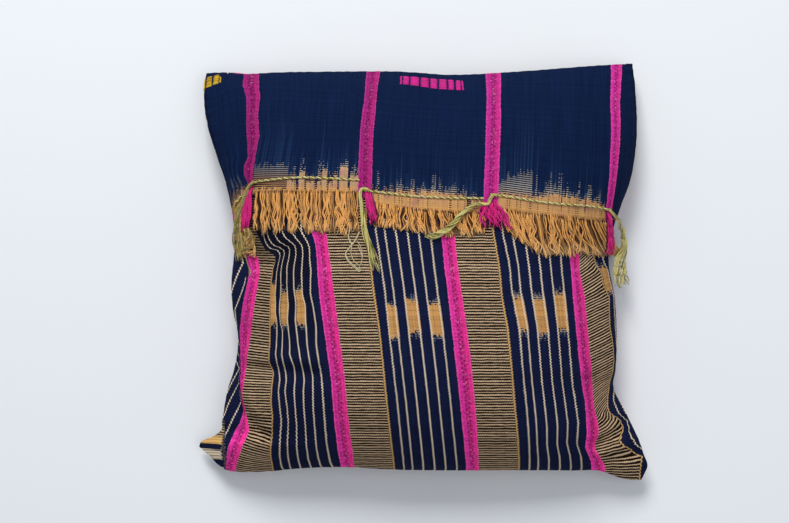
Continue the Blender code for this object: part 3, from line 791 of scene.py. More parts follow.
class Graph:
    """Short words for wiring shader nodes in one tree."""

    def __init__(self, tree: NodeTree) -> None:
        """Work in this tree."""
        self.tree = tree

    def add(self, kind: str, *values: object, **settings: object) -> Node:
        """Add a node of a kind, such as Math, with values for its first inputs and with its settings."""
        node = self.tree.nodes.new("ShaderNode" + kind)
        for name, value in settings.items():
            setattr(node, name, value)
        for socket, value in zip(node.inputs, values):
            self.feed(socket, value)
        return node

    def feed(self, socket: Socket, value: object) -> None:
        """Link a socket to a reading, or set its own value."""
        if isinstance(value, Reading):
            self.tree.links.new(value.socket, socket)
        else:
            socket.default_value = value.rgba if isinstance(value, Yarn) else value

    def outputs(self, node: Node) -> list[Reading]:
        """All that a node gives."""
        return [Reading(self, socket) for socket in node.outputs]

    def math(self, operation: str, *values: Value) -> Reading:
        """Result of a Math node."""
        return Reading(self, self.add("Math", *values, operation=operation).outputs[0])

    def between(self, value: Reading, low: Value, high: Value) -> Reading:
        """Mask of 1 where a value lies between two others."""
        return (value > low) * (value < high)

    def span(self, value: Reading, start: Value, end: Value, low: float = 0.0,
             high: float = 1.0) -> Reading:
        """Carry a value from one span to another, level beyond it."""
        return Reading(self, self.add("MapRange", value, start, end, low, high).outputs[0])

    def mix(self, share: Value, first: object, second: object) -> Reading:
        """Colour between two colours."""
        node = self.add("Mix", share, data_type="RGBA")
        self.feed(node.inputs[6], first)
        self.feed(node.inputs[7], second)
        return Reading(self, node.outputs[2])

    def shade(self, colour: Union[Yarn, Reading], tone: Value) -> Reading:
        """Colour made darker or lighter by a factor."""
        own = colour.rgba[:3] if isinstance(colour, Yarn) else colour
        node = self.add("VectorMath", own, operation="SCALE")
        self.feed(node.inputs["Scale"], tone)
        return Reading(self, node.outputs[0])

    def place(self, x: Value, y: Value) -> Reading:
        """Vector of two values."""
        return Reading(self, self.add("CombineXYZ", x, y).outputs[0])

    def cloud(self, place: Reading, scale: float, detail: float = 2.0) -> Reading:
        """Soft noise from about 0.25 to 0.75."""
        node = self.add("TexNoise")
        for name, value in (("Vector", place), ("Scale", scale), ("Detail", detail)):
            self.feed(node.inputs[name], value)
        return Reading(self, node.outputs[0])

    def cloth_map(self) -> list[Reading]:
        """The two numbers of the piece's own map, in metres."""
        place = Reading(self, self.add("UVMap", uv_map="cloth").outputs[0])
        return self.outputs(self.add("SeparateXYZ", place))[:2]

    def steps(self, value: Reading, rows: Sequence[tuple[float, Point]]) -> list[Reading]:
        """Three numbers from 0 to 1 that hold from each row's place, from 0 to 1, up to the next."""
        node = self.add("ValToRGB", value)
        ramp = node.color_ramp
        ramp.interpolation = "CONSTANT"
        for index, (at, numbers) in enumerate(rows):
            knot = ramp.elements[index] if index < 2 else ramp.elements.new(at)
            knot.position = at
            knot.color = (*numbers, 1.0)
        return self.outputs(self.add("SeparateColor", Reading(self, node.outputs[0])))

    def use(self, group: NodeTree, *values: Value) -> Readings:
        """Place a node group with values for its inputs, and give its outputs by name."""
        node = self.add("Group", node_tree=group)
        for socket, value in zip(node.inputs, values):
            self.feed(socket, value)
        return {socket.name: Reading(self, socket) for socket in node.outputs}


def effect(name: str, inputs: Sequence[str], wire: Callable[..., Readings]) -> NodeTree:
    """Build a shader node group of plain values once, and find it again after that.

    Args:
        name: The group's name.
        inputs: Names of its input values.
        wire: Wires the group, given its graph and its inputs, and says what each output carries.

    Returns:
        The group.
    """
    if name in bpy.data.node_groups:
        return bpy.data.node_groups[name]
    tree = bpy.data.node_groups.new(name, "ShaderNodeTree")
    for label in inputs:
        tree.interface.new_socket(name=label, in_out="INPUT", socket_type="NodeSocketFloat")
    graph = Graph(tree)
    carried = wire(graph, *graph.outputs(tree.nodes.new("NodeGroupInput"))[:len(inputs)])
    for label in carried:
        tree.interface.new_socket(name=label, in_out="OUTPUT", socket_type="NodeSocketFloat")
    drain = tree.nodes.new("NodeGroupOutput")
    for label, value in carried.items():
        graph.feed(drain.inputs[label], value)
    return tree


def plain_weave() -> NodeTree:
    """Group for single threads over and under each other: their height, and a tone for each thread."""
    def wire(graph: Graph, across: Reading, along: Reading, warp: Reading, weft: Reading) -> Readings:
        """Cross the ends over the picks by turns."""
        ends, picks = across / warp, along / weft
        over = (ends.whole() + picks.whole()).odd()
        end_round, pick_round = (ends.rest() * math.pi).sine(), (picks.rest() * math.pi).sine()
        warp_height, weft_height = end_round * (pick_round * 0.5 + 0.5), pick_round * 0.55
        return {"Height": warp_height * over + weft_height * (1.0 - over),
                "Tone": (ends.dice() + picks.dice(40.0)) * 0.5}

    return effect("plain_weave", ("Across", "Along", "Warp Pitch", "Weft Pitch"), wire)


def yarn_streaks() -> NodeTree:
    """Group for uneven dye and thick and thin yarn: streaks that run along the warp."""
    def wire(graph: Graph, across: Reading, along: Reading, width: Reading, length: Reading) -> Readings:
        """Stretch fine noise along the warp."""
        fine = graph.cloud(graph.place(across / width, along / length), 1.0, 3.0)
        return {"Tone": graph.span(fine, 0.3, 0.7)}

    return effect("yarn_streaks", ("Across", "Along", "Width", "Length"), wire)


def join_stitching() -> NodeTree:
    """Group for two selvedges caught together: a zig-zag of dark dots, pale flecks and worn threads."""
    def wire(graph: Graph, offset: Reading, along: Reading, stitch: Reading, reach: Reading) -> Readings:
        """Lay the stitches, the flecks and the two rounded lips."""
        fleck_size, lip_width = 1.3, 5.5
        near = offset - (graph.cloud(graph.place(along, 3.0), 0.3) - 0.5) * 2.4
        row = along / stitch
        side = row.whole().odd() * 2.0 - 1.0
        dots = graph.span(abs(near - side * reach), 1.0, 0.5) * graph.between(row.rest(), 0.08, 0.8)
        seam = graph.span(abs(near), 2.8, 1.2) * 0.4
        cell = (along / fleck_size).whole() * 31.0 + (offset / fleck_size).whole()
        middle = graph.span(abs(near), 3.4, 1.6)
        specks = (cell.dice(50.0) > 0.66) * middle * 0.55
        lips = ((abs(offset) / lip_width).at_most(1.0) * math.pi).sine()
        return {"Thread": dots.at_least(seam.at_least(specks)), "Fleck": (cell.dice() > 0.9) * middle,
                "Worn": cell.dice(90.0) > 0.7, "Height": lips + dots * 0.5}

    return effect("join_stitching", ("Offset", "Along", "Stitch", "Reach"), wire)


def resist_teeth() -> NodeTree:
    """Group for the end of a tied resist: whole threads, rows of fading dots, and a faint bloom above."""
    def wire(graph: Graph, beyond: Reading, across: Reading, along: Reading, solid: Reading,
             dashed: Reading, warp: Reading, level: Reading) -> Readings:
        """End each column of dots at a height of its own."""
        row_pitch, row_share = 2.1, 0.44
        column = across / warp
        first, second = column.dice(), column.dice(71.0)
        row = along / row_pitch + second * 0.12
        in_row = row.rest() < row_share
        cell = row.whole() * 17.0 + column.whole()
        kept = (cell.dice(7.0) > 0.2).at_least(level)
        reach = dashed * (0.3 + second * 0.7).at_least(level * (0.75 + first * 0.25))
        share = beyond / reach.at_least(0.5)
        inside = share < 1.0
        return {"Solid": beyond < (first - 0.35) * solid,
                "Dots": inside * in_row * kept * graph.span(share, 0.0, 1.0, 0.9, 0.3),
                "Bloom": graph.span(share, 0.8, 3.4, 1.0, 0.0) * (in_row * 0.6 + 0.4),
                "Gaps": inside * (1.0 - in_row)}

    return effect("resist_teeth", ("Beyond", "Across", "Along", "Solid", "Dashed", "Warp", "Level"), wire)


def ply_twist_and_shade() -> NodeTree:
    """Group for the plies of a twisted yarn: their height, and a tone of painted shade that is dark between
    them.
    """
    def wire(graph: Graph, turn: Reading, along: Reading, lay: Reading, plies: Reading) -> Readings:
        """Wind the plies round the yarn."""
        height = abs(((turn * plies + along / lay) * math.pi).sine())
        # Painted shade: the tone is low in the grooves between the plies.
        return {"Height": height, "Tone": height ** 0.6}

    return effect("ply_twist_and_shade", ("Turn", "Along", "Lay", "Plies"), wire)


class Finish:
    """What the cloth and yarn finishes share: a new material with a Principled shader."""

    glint: ClassVar[float] = 0.04
    sheen_roughness: ClassVar[float] = 0.6

    def start(self, name: str, roughness: float, sheen: float = 0.0) -> tuple[Material, Graph, Node]:
        """Start a material with even roughness and sheen on the shader's own sockets."""
        material = bpy.data.materials.new(name)
        material.use_nodes = True
        shader = material.node_tree.nodes["Principled BSDF"]
        for socket, value in (("Roughness", roughness), ("Specular IOR Level", self.glint),
                              ("Sheen Weight", sheen), ("Sheen Roughness", self.sheen_roughness)):
            shader.inputs[socket].default_value = value
        return material, Graph(material.node_tree), shader

    def cover(self, graph: Graph, shader: Node, colour: Reading, height: Reading, depth: float) -> None:
        """Give the shader its colour, and a bump whose height from 0 to 1 is a depth in millimetres."""
        bump = graph.add("Bump")
        graph.feed(bump.inputs["Height"], height)
        bump.inputs["Distance"].default_value = depth * MM
        graph.feed(shader.inputs["Normal"], Reading(graph, bump.outputs[0]))
        graph.feed(shader.inputs["Base Color"], colour)


@dataclass(frozen=True)
class MagentaJoin:
    """Two magenta selvedges sewn together, from the left one's yarn to the right one's."""

    half: float
    left: Yarn
    right: Yarn
    stitch: float = 2.3
    reach: float = 1.1

    def lay(self, graph: Graph, colour: Reading, across: Reading, along: Reading, tone: Reading,
            strength: Reading) -> tuple[Reading, Reading]:
        """Lay the joins over a cloth's colour.

        Args:
            graph: Where the nodes go.
            colour: The cloth's colour.
            across: Millimetres across the cloth, from the middle of a join.
            along: Millimetres along it.
            tone: A tone for each thread.
            strength: How bright the magenta is.

        Returns:
            The colour, and the joins' height.
        """
        offset = graph.math("WRAP", across, PITCH * 1.5, PITCH / 2) - PITCH
        stitching = graph.use(join_stitching(), offset, along, self.stitch, self.reach)
        uneven = ((along / 1.2).dice(5.0) - 0.5) * 0.7
        mask = abs(offset) < uneven + self.half
        cloth = graph.mix(graph.span(offset, -1.5, 1.5), self.left, self.right)
        cloth = graph.mix(stitching["Thread"] * 0.8, cloth, Yarn.STITCH)
        cloth = graph.mix(stitching["Fleck"] * 0.45, cloth, Yarn.FLECK)
        selvedge = graph.between(abs(offset), self.half - 0.9, self.half + 0.4)
        cloth = graph.mix(selvedge * ((along / self.stitch).rest() < 0.45) * 0.4, cloth, Yarn.FLECK)
        cloth = graph.shade(cloth, strength * (0.78 + tone * 0.55 - stitching["Worn"] * 0.25))
        return graph.mix(mask, colour, cloth), stitching["Height"] * mask


@dataclass(frozen=True)
class IkatBlock:
    """A tied block of the striped cloth: its stretch across a strip and its y-range on the face."""

    strip: int
    left: float
    right: float
    high: float
    low: float


IKAT_BLOCKS = (
    IkatBlock(0, 49.4, 57.5, -16.3, -50.9), IkatBlock(0, 65.8, 76.2, -21.6, -53.9),
    IkatBlock(0, 87.1, 97.7, -21.8, -52.0),
    IkatBlock(1, 57.5, 65.8, -36.7, -64.7), IkatBlock(1, 76.2, 87.1, -30.9, -59.9),
    IkatBlock(1, 97.7, 108.4, -34.8, -62.8),
    IkatBlock(2, 57.5, 65.8, -27.8, -57.9), IkatBlock(2, 76.2, 87.1, -28.6, -61.8),
    IkatBlock(2, 97.7, 108.4, -23.5, -57.8),
    IkatBlock(3, 49.4, 57.5, 4.0, -18.8),
)


@dataclass(frozen=True)
class StripedCloth(Finish):
    """Narrow woven strips: navy with twisted cream lines, a weft-striped band and magenta selvedges."""

    name: str
    blocks: tuple[IkatBlock, ...] = ()
    cloth: Optional[ClothMap] = None
    join: MagentaJoin = MagentaJoin(JOIN_HALF, Yarn.PURPLE, Yarn.MAGENTA)
    warp_pitch: float = 0.62
    weft_pitch: float = 1.1
    streak: Row = (0.9, 30.0)
    line_half: float = 0.62
    gold_half: float = 0.75
    line_edge: float = 0.15
    bead: float = 2.9
    bead_sway: float = 0.48
    knot: float = 2.6
    tuck: Row = (-119.0, -76.0)
    tuck_top: Row = (-9.0, -5.0)
    tuck_left: float = CREAM_LINES[5] - PITCH - 2.2
    fold_along: Row = (4.0, 18.0)
    gold_shade_along: Row = (7.0, 13.0)
    navy_shade_along: Row = (-90.0, 15.0)
    navy_shade_share: Row = (0.2, 0.85)
    # Painted light: the joins' brightness rises towards the bottom.
    painted_light_along: Row = (-195.0, -120.0)
    join_strength: Row = (1.3, 0.97)
    row_pitch: float = 2.75
    row_share: float = 0.39
    row_end: float = 47.3
    block_warp: float = 1.25
    block_ends: Row = (5.0, 8.0)
    span: float = 4 * PITCH
    block_scale: float = 200.0
    block_base: float = 100.0
    roughness: float = 0.9
    depth: float = 0.34

    def block_rows(self) -> list[tuple[float, Point]]:
        """Steps with each tied block's upper and lower end along the cloth."""
        rows = [(0.0, (0.0, 0.0, 0.0))]
        for block in self.blocks:
            middle = (block.left + block.right) / 2 + block.strip * PITCH
            ends = []
            for y in (block.high, block.low):
                line_x = [self._x_of(middle, y)]
                along = self.cloth.along(np.array(line_x), np.array([y]), np.array([middle]))[0]
                ends.append((along + self.block_base) / self.block_scale)
            rows.append(((block.left + block.strip * PITCH) / self.span, (ends[0], ends[1], 1.0)))
            rows.append(((block.right + block.strip * PITCH) / self.span, (0.0, 0.0, 0.0)))
        return rows

    def _x_of(self, across: float, y: float) -> float:
        """Place on the face of a distance across the cloth, at the height y."""
        knots = [(at, float(x)) for at, x in self.cloth.knots(np.array(y))]
        return float(np.interp(across, [at for at, _ in knots], [x for _, x in knots]))

    def tied(self, graph: Graph, ground: Reading, across: Reading, along: Reading,
             tone: Reading) -> Reading:
        """Colour of the ground with its tied blocks, which end in a few rows of pale dots."""
        *ends, inside = graph.steps(across / self.span, self.block_rows())
        high, low = (end * self.block_scale - self.block_base for end in ends)
        beyond = (along - high).at_least(low - along)
        teeth = graph.use(resist_teeth(), beyond, across, along, *self.block_ends, self.block_warp)
        colour = graph.mix(teeth["Dots"] * 0.7, ground, Yarn.RESIST_DOT)
        colour = graph.mix(teeth["Solid"], colour, graph.shade(Yarn.RESIST, 0.5 + tone * 0.5))
        return graph.mix(inside, ground, colour)

    def weft_band(self, graph: Graph, across: Reading, along: Reading,
                  tone: Reading) -> tuple[Reading, Reading]:
        """Colour of the weft-striped band, and the mask of its raised tan rows."""
        wave = (graph.cloud(graph.place(across * 0.35, along), 0.3, 3.0) - 0.5) * 1.5
        rows = (along + wave) / self.row_pitch
        half = self.row_share / 2 - 0.04 + rows.dice() * 0.08
        tan_row = graph.span(abs(rows.rest() - 0.5), half + 0.06, half - 0.06)
        knots = ((across / self.knot + rows.whole() * 0.5) * math.tau).sine()
        tan = graph.shade(Yarn.TAN, 0.58 + rows.dice(9.0) * 0.2 + tone * 0.4 + knots * 0.22)
        return graph.mix(tan_row, graph.shade(Yarn.BROWN_BLACK, 0.5 + tone * 0.8), tan), tan_row

    def line(self, graph: Graph, place: Reading, at: float, half: float) -> Reading:
        """Mask of one warp line."""
        return graph.span(abs(place - at), half + self.line_edge, half - self.line_edge)

    def build(self) -> Material:
        """Make the material."""
        material, graph, shader = self.start(self.name, self.roughness)
        across, along = (metres / MM for metres in graph.cloth_map())
        drift = graph.cloud(graph.place(across, along * 0.6), 0.25) - 0.5
        in_strip = ((across + drift * 1.1) / PITCH).rest() * PITCH
        weave = graph.use(plain_weave(), across, along, self.warp_pitch, self.weft_pitch)
        streaks = graph.use(yarn_streaks(), across, along, *self.streak)
        tone = weave["Tone"]

        # Painted shade: strip 0's navy is mixed towards a darker navy, most near its top by the fold under
        # the left fringe.
        navy_shade_mask = graph.span(along, *self.navy_shade_along, *self.navy_shade_share)
        colour = graph.mix(graph.between(across, 0.0, PITCH * 0.9) * navy_shade_mask, Yarn.NAVY, Yarn.NAVY_SHADE)
        colour = graph.shade(colour, 0.55 + tone * 0.5 + streaks["Tone"] * 0.5)
        if self.blocks:
            colour = self.tied(graph, colour, across, along, tone)
        beaded = in_strip + (along * (math.tau / self.bead)).sine() * self.bead_sway
        lines = reduce(Reading.at_least,
                       [self.line(graph, beaded, at, self.line_half) for at in CREAM_LINES])
        last = graph.between(across, self.tuck_left, -JOIN_HALF)
        tucked = graph.span(along, *self.tuck_top).at_least(graph.between(along, *self.tuck))
        lines = lines * (1.0 - last * tucked)
        # The plies' painted shade darkens the cream and gold lines between their plies.
        twist = graph.use(ply_twist_and_shade(), across / 2.2, along, self.bead, 1.0)
        colour = graph.mix(lines, colour, graph.shade(Yarn.CREAM, 0.22 + twist["Tone"] * 0.95))

        band, tan_row = self.weft_band(graph, across, along, tone)
        fold_shade = graph.between(across, 0.0, GOLD_LINE) * graph.span(along, *self.fold_along, 0.0, 0.5)
        band_mask = graph.between(in_strip, JOIN_HALF - 1.0, self.row_end)
        colour = graph.mix(band_mask, colour, graph.shade(band, 1.0 - fold_shade))
        # Painted shade: the gold line is left out where the fold under the left fringe lies in shade.
        gold_in_fold_shade = graph.between(across, 0.0, PITCH / 2) * graph.span(along, *self.gold_shade_along)
        gold_line = self.line(graph, beaded, GOLD_LINE, self.gold_half) * (1.0 - gold_in_fold_shade)
        colour = graph.mix(gold_line, colour, graph.shade(Yarn.GOLD, 0.5 + twist["Tone"] * 0.55))
        # Painted light: the magenta of the joins is brightened towards the bottom, where the key lamp
        # lights the cushion less.
        strength = graph.span(along, *self.painted_light_along, *self.join_strength)
        colour, join_height = self.join.lay(graph, colour, across, along, tone, strength)
        relief = weave["Height"] * 0.5 + tan_row * band_mask * 0.9
        relief = relief + lines * twist["Height"] * 0.8 + join_height
        self.cover(graph, shader, colour, relief, self.depth)
        return material


@dataclass(frozen=True)
class Tooth:
    """A stretch of a strip's resist end, from a place in millimetres across.

    Solid and dashed are how far up it reaches, and level is how even its dashed rows are, 0 to 1.
    """

    start: float
    solid: float
    dashed: float
    level: float = 0.0


FLAP_TEETH: dict[int, tuple[Tooth, ...]] = {
    -1: (Tooth(0, 4, 8), Tooth(78, 5, 18), Tooth(84, 6, 26), Tooth(88, 5, 14), Tooth(92, 8, 28),
        Tooth(97, 7, 16), Tooth(101, 10, 26), Tooth(106, 9, 16), Tooth(111, 8, 14), Tooth(116, 0, 0)),
    0: (Tooth(0, 8, 12), Tooth(7.5, 3, 25, 1), Tooth(43.8, 10, 25, 0.4), Tooth(53.2, 2, 15),
        Tooth(55.8, 19, 34), Tooth(61.6, 2, 15), Tooth(63.6, 10, 19, 0.3), Tooth(72.4, 2, 15),
        Tooth(74.6, 9, 31), Tooth(78.4, 21, 30), Tooth(84.1, 2, 15), Tooth(86.1, 8, 20),
        Tooth(90.8, 16, 25), Tooth(94.9, 2, 16), Tooth(97.0, 25, 33), Tooth(105.7, 2, 16),
        Tooth(108.0, 17, 28), Tooth(116, 4, 10), Tooth(118, 0, 0)),
    1: (Tooth(0, 9, 14), Tooth(7, 11, 19), Tooth(12, 12, 30), Tooth(13.8, 11, 19), Tooth(24, 13, 22, 0.3),
        Tooth(30.5, 17, 28, 0.5), Tooth(36.5, 15, 23, 0.3), Tooth(44.5, 18, 33, 0.2), Tooth(48.5, 15, 22),
        Tooth(54.5, 20, 27, 0.2), Tooth(60, 17, 23), Tooth(64, 20, 34, 0.2), Tooth(69, 19, 24, 0.3),
        Tooth(71.6, 18, 38), Tooth(73.6, 18, 25, 0.3), Tooth(83, 18, 29, 0.5), Tooth(87.5, 16, 24),
        Tooth(93, 16, 26, 0.4), Tooth(99.5, 4, 18), Tooth(104, 12, 20), Tooth(110, 12, 17),
        Tooth(116, 8, 12), Tooth(118, 0, 0)),
    2: (Tooth(0, 12, 22, 0.6), Tooth(5.5, 14, 27, 1), Tooth(14, 16, 34, 1), Tooth(25, 16, 38, 1),
        Tooth(38.5, 15, 22, 0.2), Tooth(41.6, 16, 36), Tooth(43.4, 16, 24), Tooth(50, 19, 30, 0.2),
        Tooth(54.5, 21, 40, 0.3), Tooth(58.5, 21, 33, 0.3), Tooth(64, 20, 39, 0.2), Tooth(67.8, 5, 24),
        Tooth(69, 20, 27), Tooth(72.8, 21, 39), Tooth(74.8, 20, 26), Tooth(84.4, 19, 34),
        Tooth(86.2, 18, 23), Tooth(92, 5, 24), Tooth(93.4, 20, 36, 0.3), Tooth(98.6, 18, 24),
        Tooth(105.5, 16, 31, 0.3), Tooth(108.5, 14, 19), Tooth(114, 10, 14), Tooth(116, 6, 10),
        Tooth(118, 0, 0)),
}


@dataclass(frozen=True)
class DyedCloth(Finish):
    """The flap's cloth: dyed navy, fading in teeth to peach at its fringed end, with magenta joins."""

    name: str
    join: MagentaJoin = MagentaJoin(FLAP_JOIN_HALF, Yarn.VIOLET, Yarn.PURPLE)
    warp_pitch: float = 0.62
    weft_pitch: float = 0.95
    streak: Row = (1.3, 60.0)
    warp: float = 1.15
    ragged: float = 4.0
    dash_reach: float = 1.25
    dash_faded: Row = (24.0, 12.0)
    spot_pitch: float = 2.25
    pale_along: Row = (2.5, 9.0)
    join_across: Row = (PITCH * 0.7, PITCH * 2.9)
    join_strength: Row = (0.5, 0.96)
    tooth_scale: float = 50.0
    roughness: float = 0.9
    depth: float = 0.3

    def end_heights(self, graph: Graph, across: Reading) -> tuple[Reading, Reading, Reading]:
        """How far up the solid and the dashed peach reach at a place across, and how even its rows are."""
        found = []
        for strip, teeth in FLAP_TEETH.items():
            rows = [(tooth.start / PITCH, (tooth.solid / self.tooth_scale, tooth.dashed / self.tooth_scale,
                                           tooth.level)) for tooth in teeth]
            at = (across - strip * PITCH) / PITCH
            inside = graph.between(at, 0.0, 1.0)
            found.append([end * inside for end in graph.steps(at, rows)])
        solid, dashed, level = (reduce(Reading.__add__, ends) for ends in zip(*found))
        return solid * self.tooth_scale, dashed * self.tooth_scale, level

    def build(self) -> Material:
        """Make the material."""
        material, graph, shader = self.start(self.name, self.roughness)
        across, along = (metres / MM for metres in graph.cloth_map())
        weave = graph.use(plain_weave(), across, along, self.warp_pitch, self.weft_pitch)
        streaks = graph.use(yarn_streaks(), across, along, *self.streak)
        tone = weave["Tone"]
        solid, dashed, level = self.end_heights(graph, across)
        teeth = graph.use(resist_teeth(), along - solid, across, along, self.ragged,
                          (dashed - solid) * self.dash_reach, self.warp, level)
        navy = graph.shade(Yarn.FLAP_NAVY, 0.5 + tone * 0.4 + streaks["Tone"] * 0.4)
        faded = teeth["Bloom"] * (across / self.warp).dice(3.0) ** 1.6 * 0.4
        navy = graph.shade(graph.mix(faded, navy, Yarn.FADED_NAVY), 1.0 - teeth["Gaps"] * 0.6)
        dot = graph.mix(graph.span(along, *self.dash_faded), Yarn.RESIST_DOT, Yarn.RESIST)
        navy = graph.mix(teeth["Dots"] * 0.78, navy, dot)
        colour = graph.mix(teeth["Solid"], navy, self.resist(graph, across, along, tone))
        strength = graph.span(across, *self.join_across, *self.join_strength)
        colour, join_height = self.join.lay(graph, colour, across, along, tone, strength)
        self.cover(graph, shader, colour, weave["Height"] * 0.6 + join_height, self.depth)
        return material

    def resist(self, graph: Graph, across: Reading, along: Reading, tone: Reading) -> Reading:
        """Colour of the peach end, with rosy patches and a few dotted dark threads."""
        patch = graph.span(graph.cloud(graph.place(across * 0.6, along), 0.12), 0.52, 0.66)
        pale = graph.span(along, *self.pale_along) * graph.span(across, PITCH * 0.95, PITCH, 0.85, 0.3)
        peach = graph.mix(pale, Yarn.RESIST, Yarn.PALE_RESIST)
        peach = graph.mix(patch * 0.55, peach, Yarn.ROSE_STAIN)
        dark_warp = (across / self.warp).dice(8.0) > 0.88
        dotted = (along / self.spot_pitch).rest() < 0.5
        stain = dark_warp * dotted * graph.span(along, 1.0, 6.0, 0.2, 0.85)
        return graph.shade(graph.mix(stain, peach, Yarn.BROWN_BLACK), 0.6 + tone * 0.5)


@dataclass(frozen=True)
class TwistedYarn(Finish):
    """A loose yarn: two plies, with painted shade where it lies under other yarns and between its plies,
    and paler at its worn end.

    The attribute tone is 0 for the deepest yarns and 1 for the outermost; a low tone paints shade.
    """

    name: str
    deep_shade: Yarn
    main: Yarn
    tip: Yarn
    tip_from: float = 9.0
    tip_to: float = 10.0
    lay: float = 2.4
    plies: float = 2.0
    depth: float = 0.25
    patchy: float = 0.0
    roughness: float = 0.85
    sheen: float = 0.08

    def build(self) -> Material:
        """Make the material."""
        material, graph, shader = self.start(self.name, self.roughness, self.sheen)
        turn, metres = graph.cloth_map()
        along = metres / MM
        twist = graph.use(ply_twist_and_shade(), turn, along, self.lay, self.plies)
        tone = Reading(graph, graph.add("Attribute", attribute_name="tone").outputs["Fac"])
        # Painted shade: yarns of low tone are mixed towards the shade colour.
        colour = graph.mix(graph.span(tone, 0.2, 0.85), self.deep_shade, self.main)
        colour = graph.mix(graph.span(metres, self.tip_from, self.tip_to, 0.0, 0.6), colour, self.tip)
        if self.patchy:
            patch = graph.cloud(graph.place(tone * 30.0, along), 0.25)
            colour = graph.mix(graph.span(patch, 0.5, 0.6, 0.0, self.patchy), colour, self.tip)
        # Painted shade: darker between the plies and on yarns of low tone.
        shade = (0.45 + twist["Tone"] * 0.62) * (0.7 + tone * 0.36)
        self.cover(graph, shader, graph.shade(colour, shade), twist["Height"], self.depth)
        return material


@dataclass(frozen=True)
class Maker:
    """What every sub-assembly works with: the cushion's shape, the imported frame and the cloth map."""

    filling: Filling
    cover: CoverFrame
    cloth: ClothMap

    def settle(self, piece: Piece, slot: str, *nodes: str) -> Piece:
        """Let a piece ride on the body and stand for its nodes."""
        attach(piece, BODY)
        if nodes:
            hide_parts(*nodes)
        LOG.info("%s: %d faces", piece.name, len(piece.data.polygons))
        return piece

    def over_face(self, x: Array, y: Array, lift: Array, loose: bool = False) -> Array:
        """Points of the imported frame, in metres, out of the cushion's front."""
        return self.cover.points(self.filling.over_face(x, y, lift, loose))

    def outward(self, x: Array, y: Array, loose: bool = False) -> Array:
        """Unit steps out of the cushion's front."""
        return self.filling.over_face(x, y, 1.0, loose) - self.filling.over_face(x, y, 0.0, loose)


@dataclass(frozen=True)
class CushionCover:
    """The striped cover round its filling: front, back and the sewn edge between them."""

    maker: Maker
    columns: int = 192
    rows: int = 180
    crowding: float = 0.36
    roll: float = 0.5
    back_shift: float = 176.0

    def crowd(self, part: Array) -> Array:
        """Spread 0 to 1 so that the mesh is finer near both edges."""
        a = 2.0 * part - 1.0
        return 0.5 + 0.5 * (a + self.crowding * a * (1.0 - a * a))

    def build(self) -> Piece:
        """Build and dress the cover."""
        filling, outline = self.maker.filling, self.maker.filling.outline
        u, v = np.meshgrid(np.linspace(0, 1, self.columns + 1), np.linspace(0, 1, self.rows + 1))
        x, y = (part.ravel() for part in outline.place(self.crowd(u), self.crowd(v)))
        front = np.stack([x, y, filling.face_height(x, y)], axis=-1)
        back = np.stack([x, y, filling.back_height(x, y)], axis=-1)
        loop, faces = closed_sheet(self.columns, self.rows)
        middle = (front[loop] + back[loop]) / 2
        run = np.roll(middle, -1, axis=0) - np.roll(middle, 1, axis=0)
        out = np.stack([run[:, 1], -run[:, 0]], axis=-1)
        middle[:, :2] += out / np.linalg.norm(out, axis=-1, keepdims=True) * self.roll

        front_map = self.maker.cloth.uv(x, y)
        back_map = np.stack([x + self.back_shift, y], axis=-1) * MM
        seam_map = np.concatenate([front_map, front_map, front_map[loop]])
        maps = [corner_map(faces[0], front_map), corner_map(faces[1] - len(front), back_map),
                corner_map(faces[2], seam_map), corner_map(faces[3], seam_map)]
        parts = MeshParts.empty()
        parts.add(self.maker.cover.points(np.concatenate([front, back, middle])), faces, maps, (0, 1, 0, 0))
        finishes = (StripedCloth("striped_cloth_front", IKAT_BLOCKS, self.maker.cloth),
                    StripedCloth("striped_cloth_back"))
        piece = parts.build("striped_cover", [finish.build() for finish in finishes])
        self.maker.settle(piece, "striped_cloth", "cushion_body")
        return piece


@dataclass(frozen=True)
class FringeRow:
    """The warp ends of one woven strip, along its cut end from x0, y0 to x1, y1."""

    node: str
    x0: float
    y0: float
    x1: float
    y1: float
    strands: int
    lengths: tuple[float, ...]
    leans: tuple[float, ...]
    curl: float
    parting: Optional[float] = None
    yarn: Yarn = Yarn.PEACH
    sag: float = 0.0

    def hem(self, share: Array) -> tuple[Array, Array]:
        """Place x, y on the cut end, for shares from 0 to 1 along it."""
        return (self.x0 + (self.x1 - self.x0) * share,
                self.y0 + (self.y1 - self.y0) * share - self.sag * 4 * share * (1 - share))


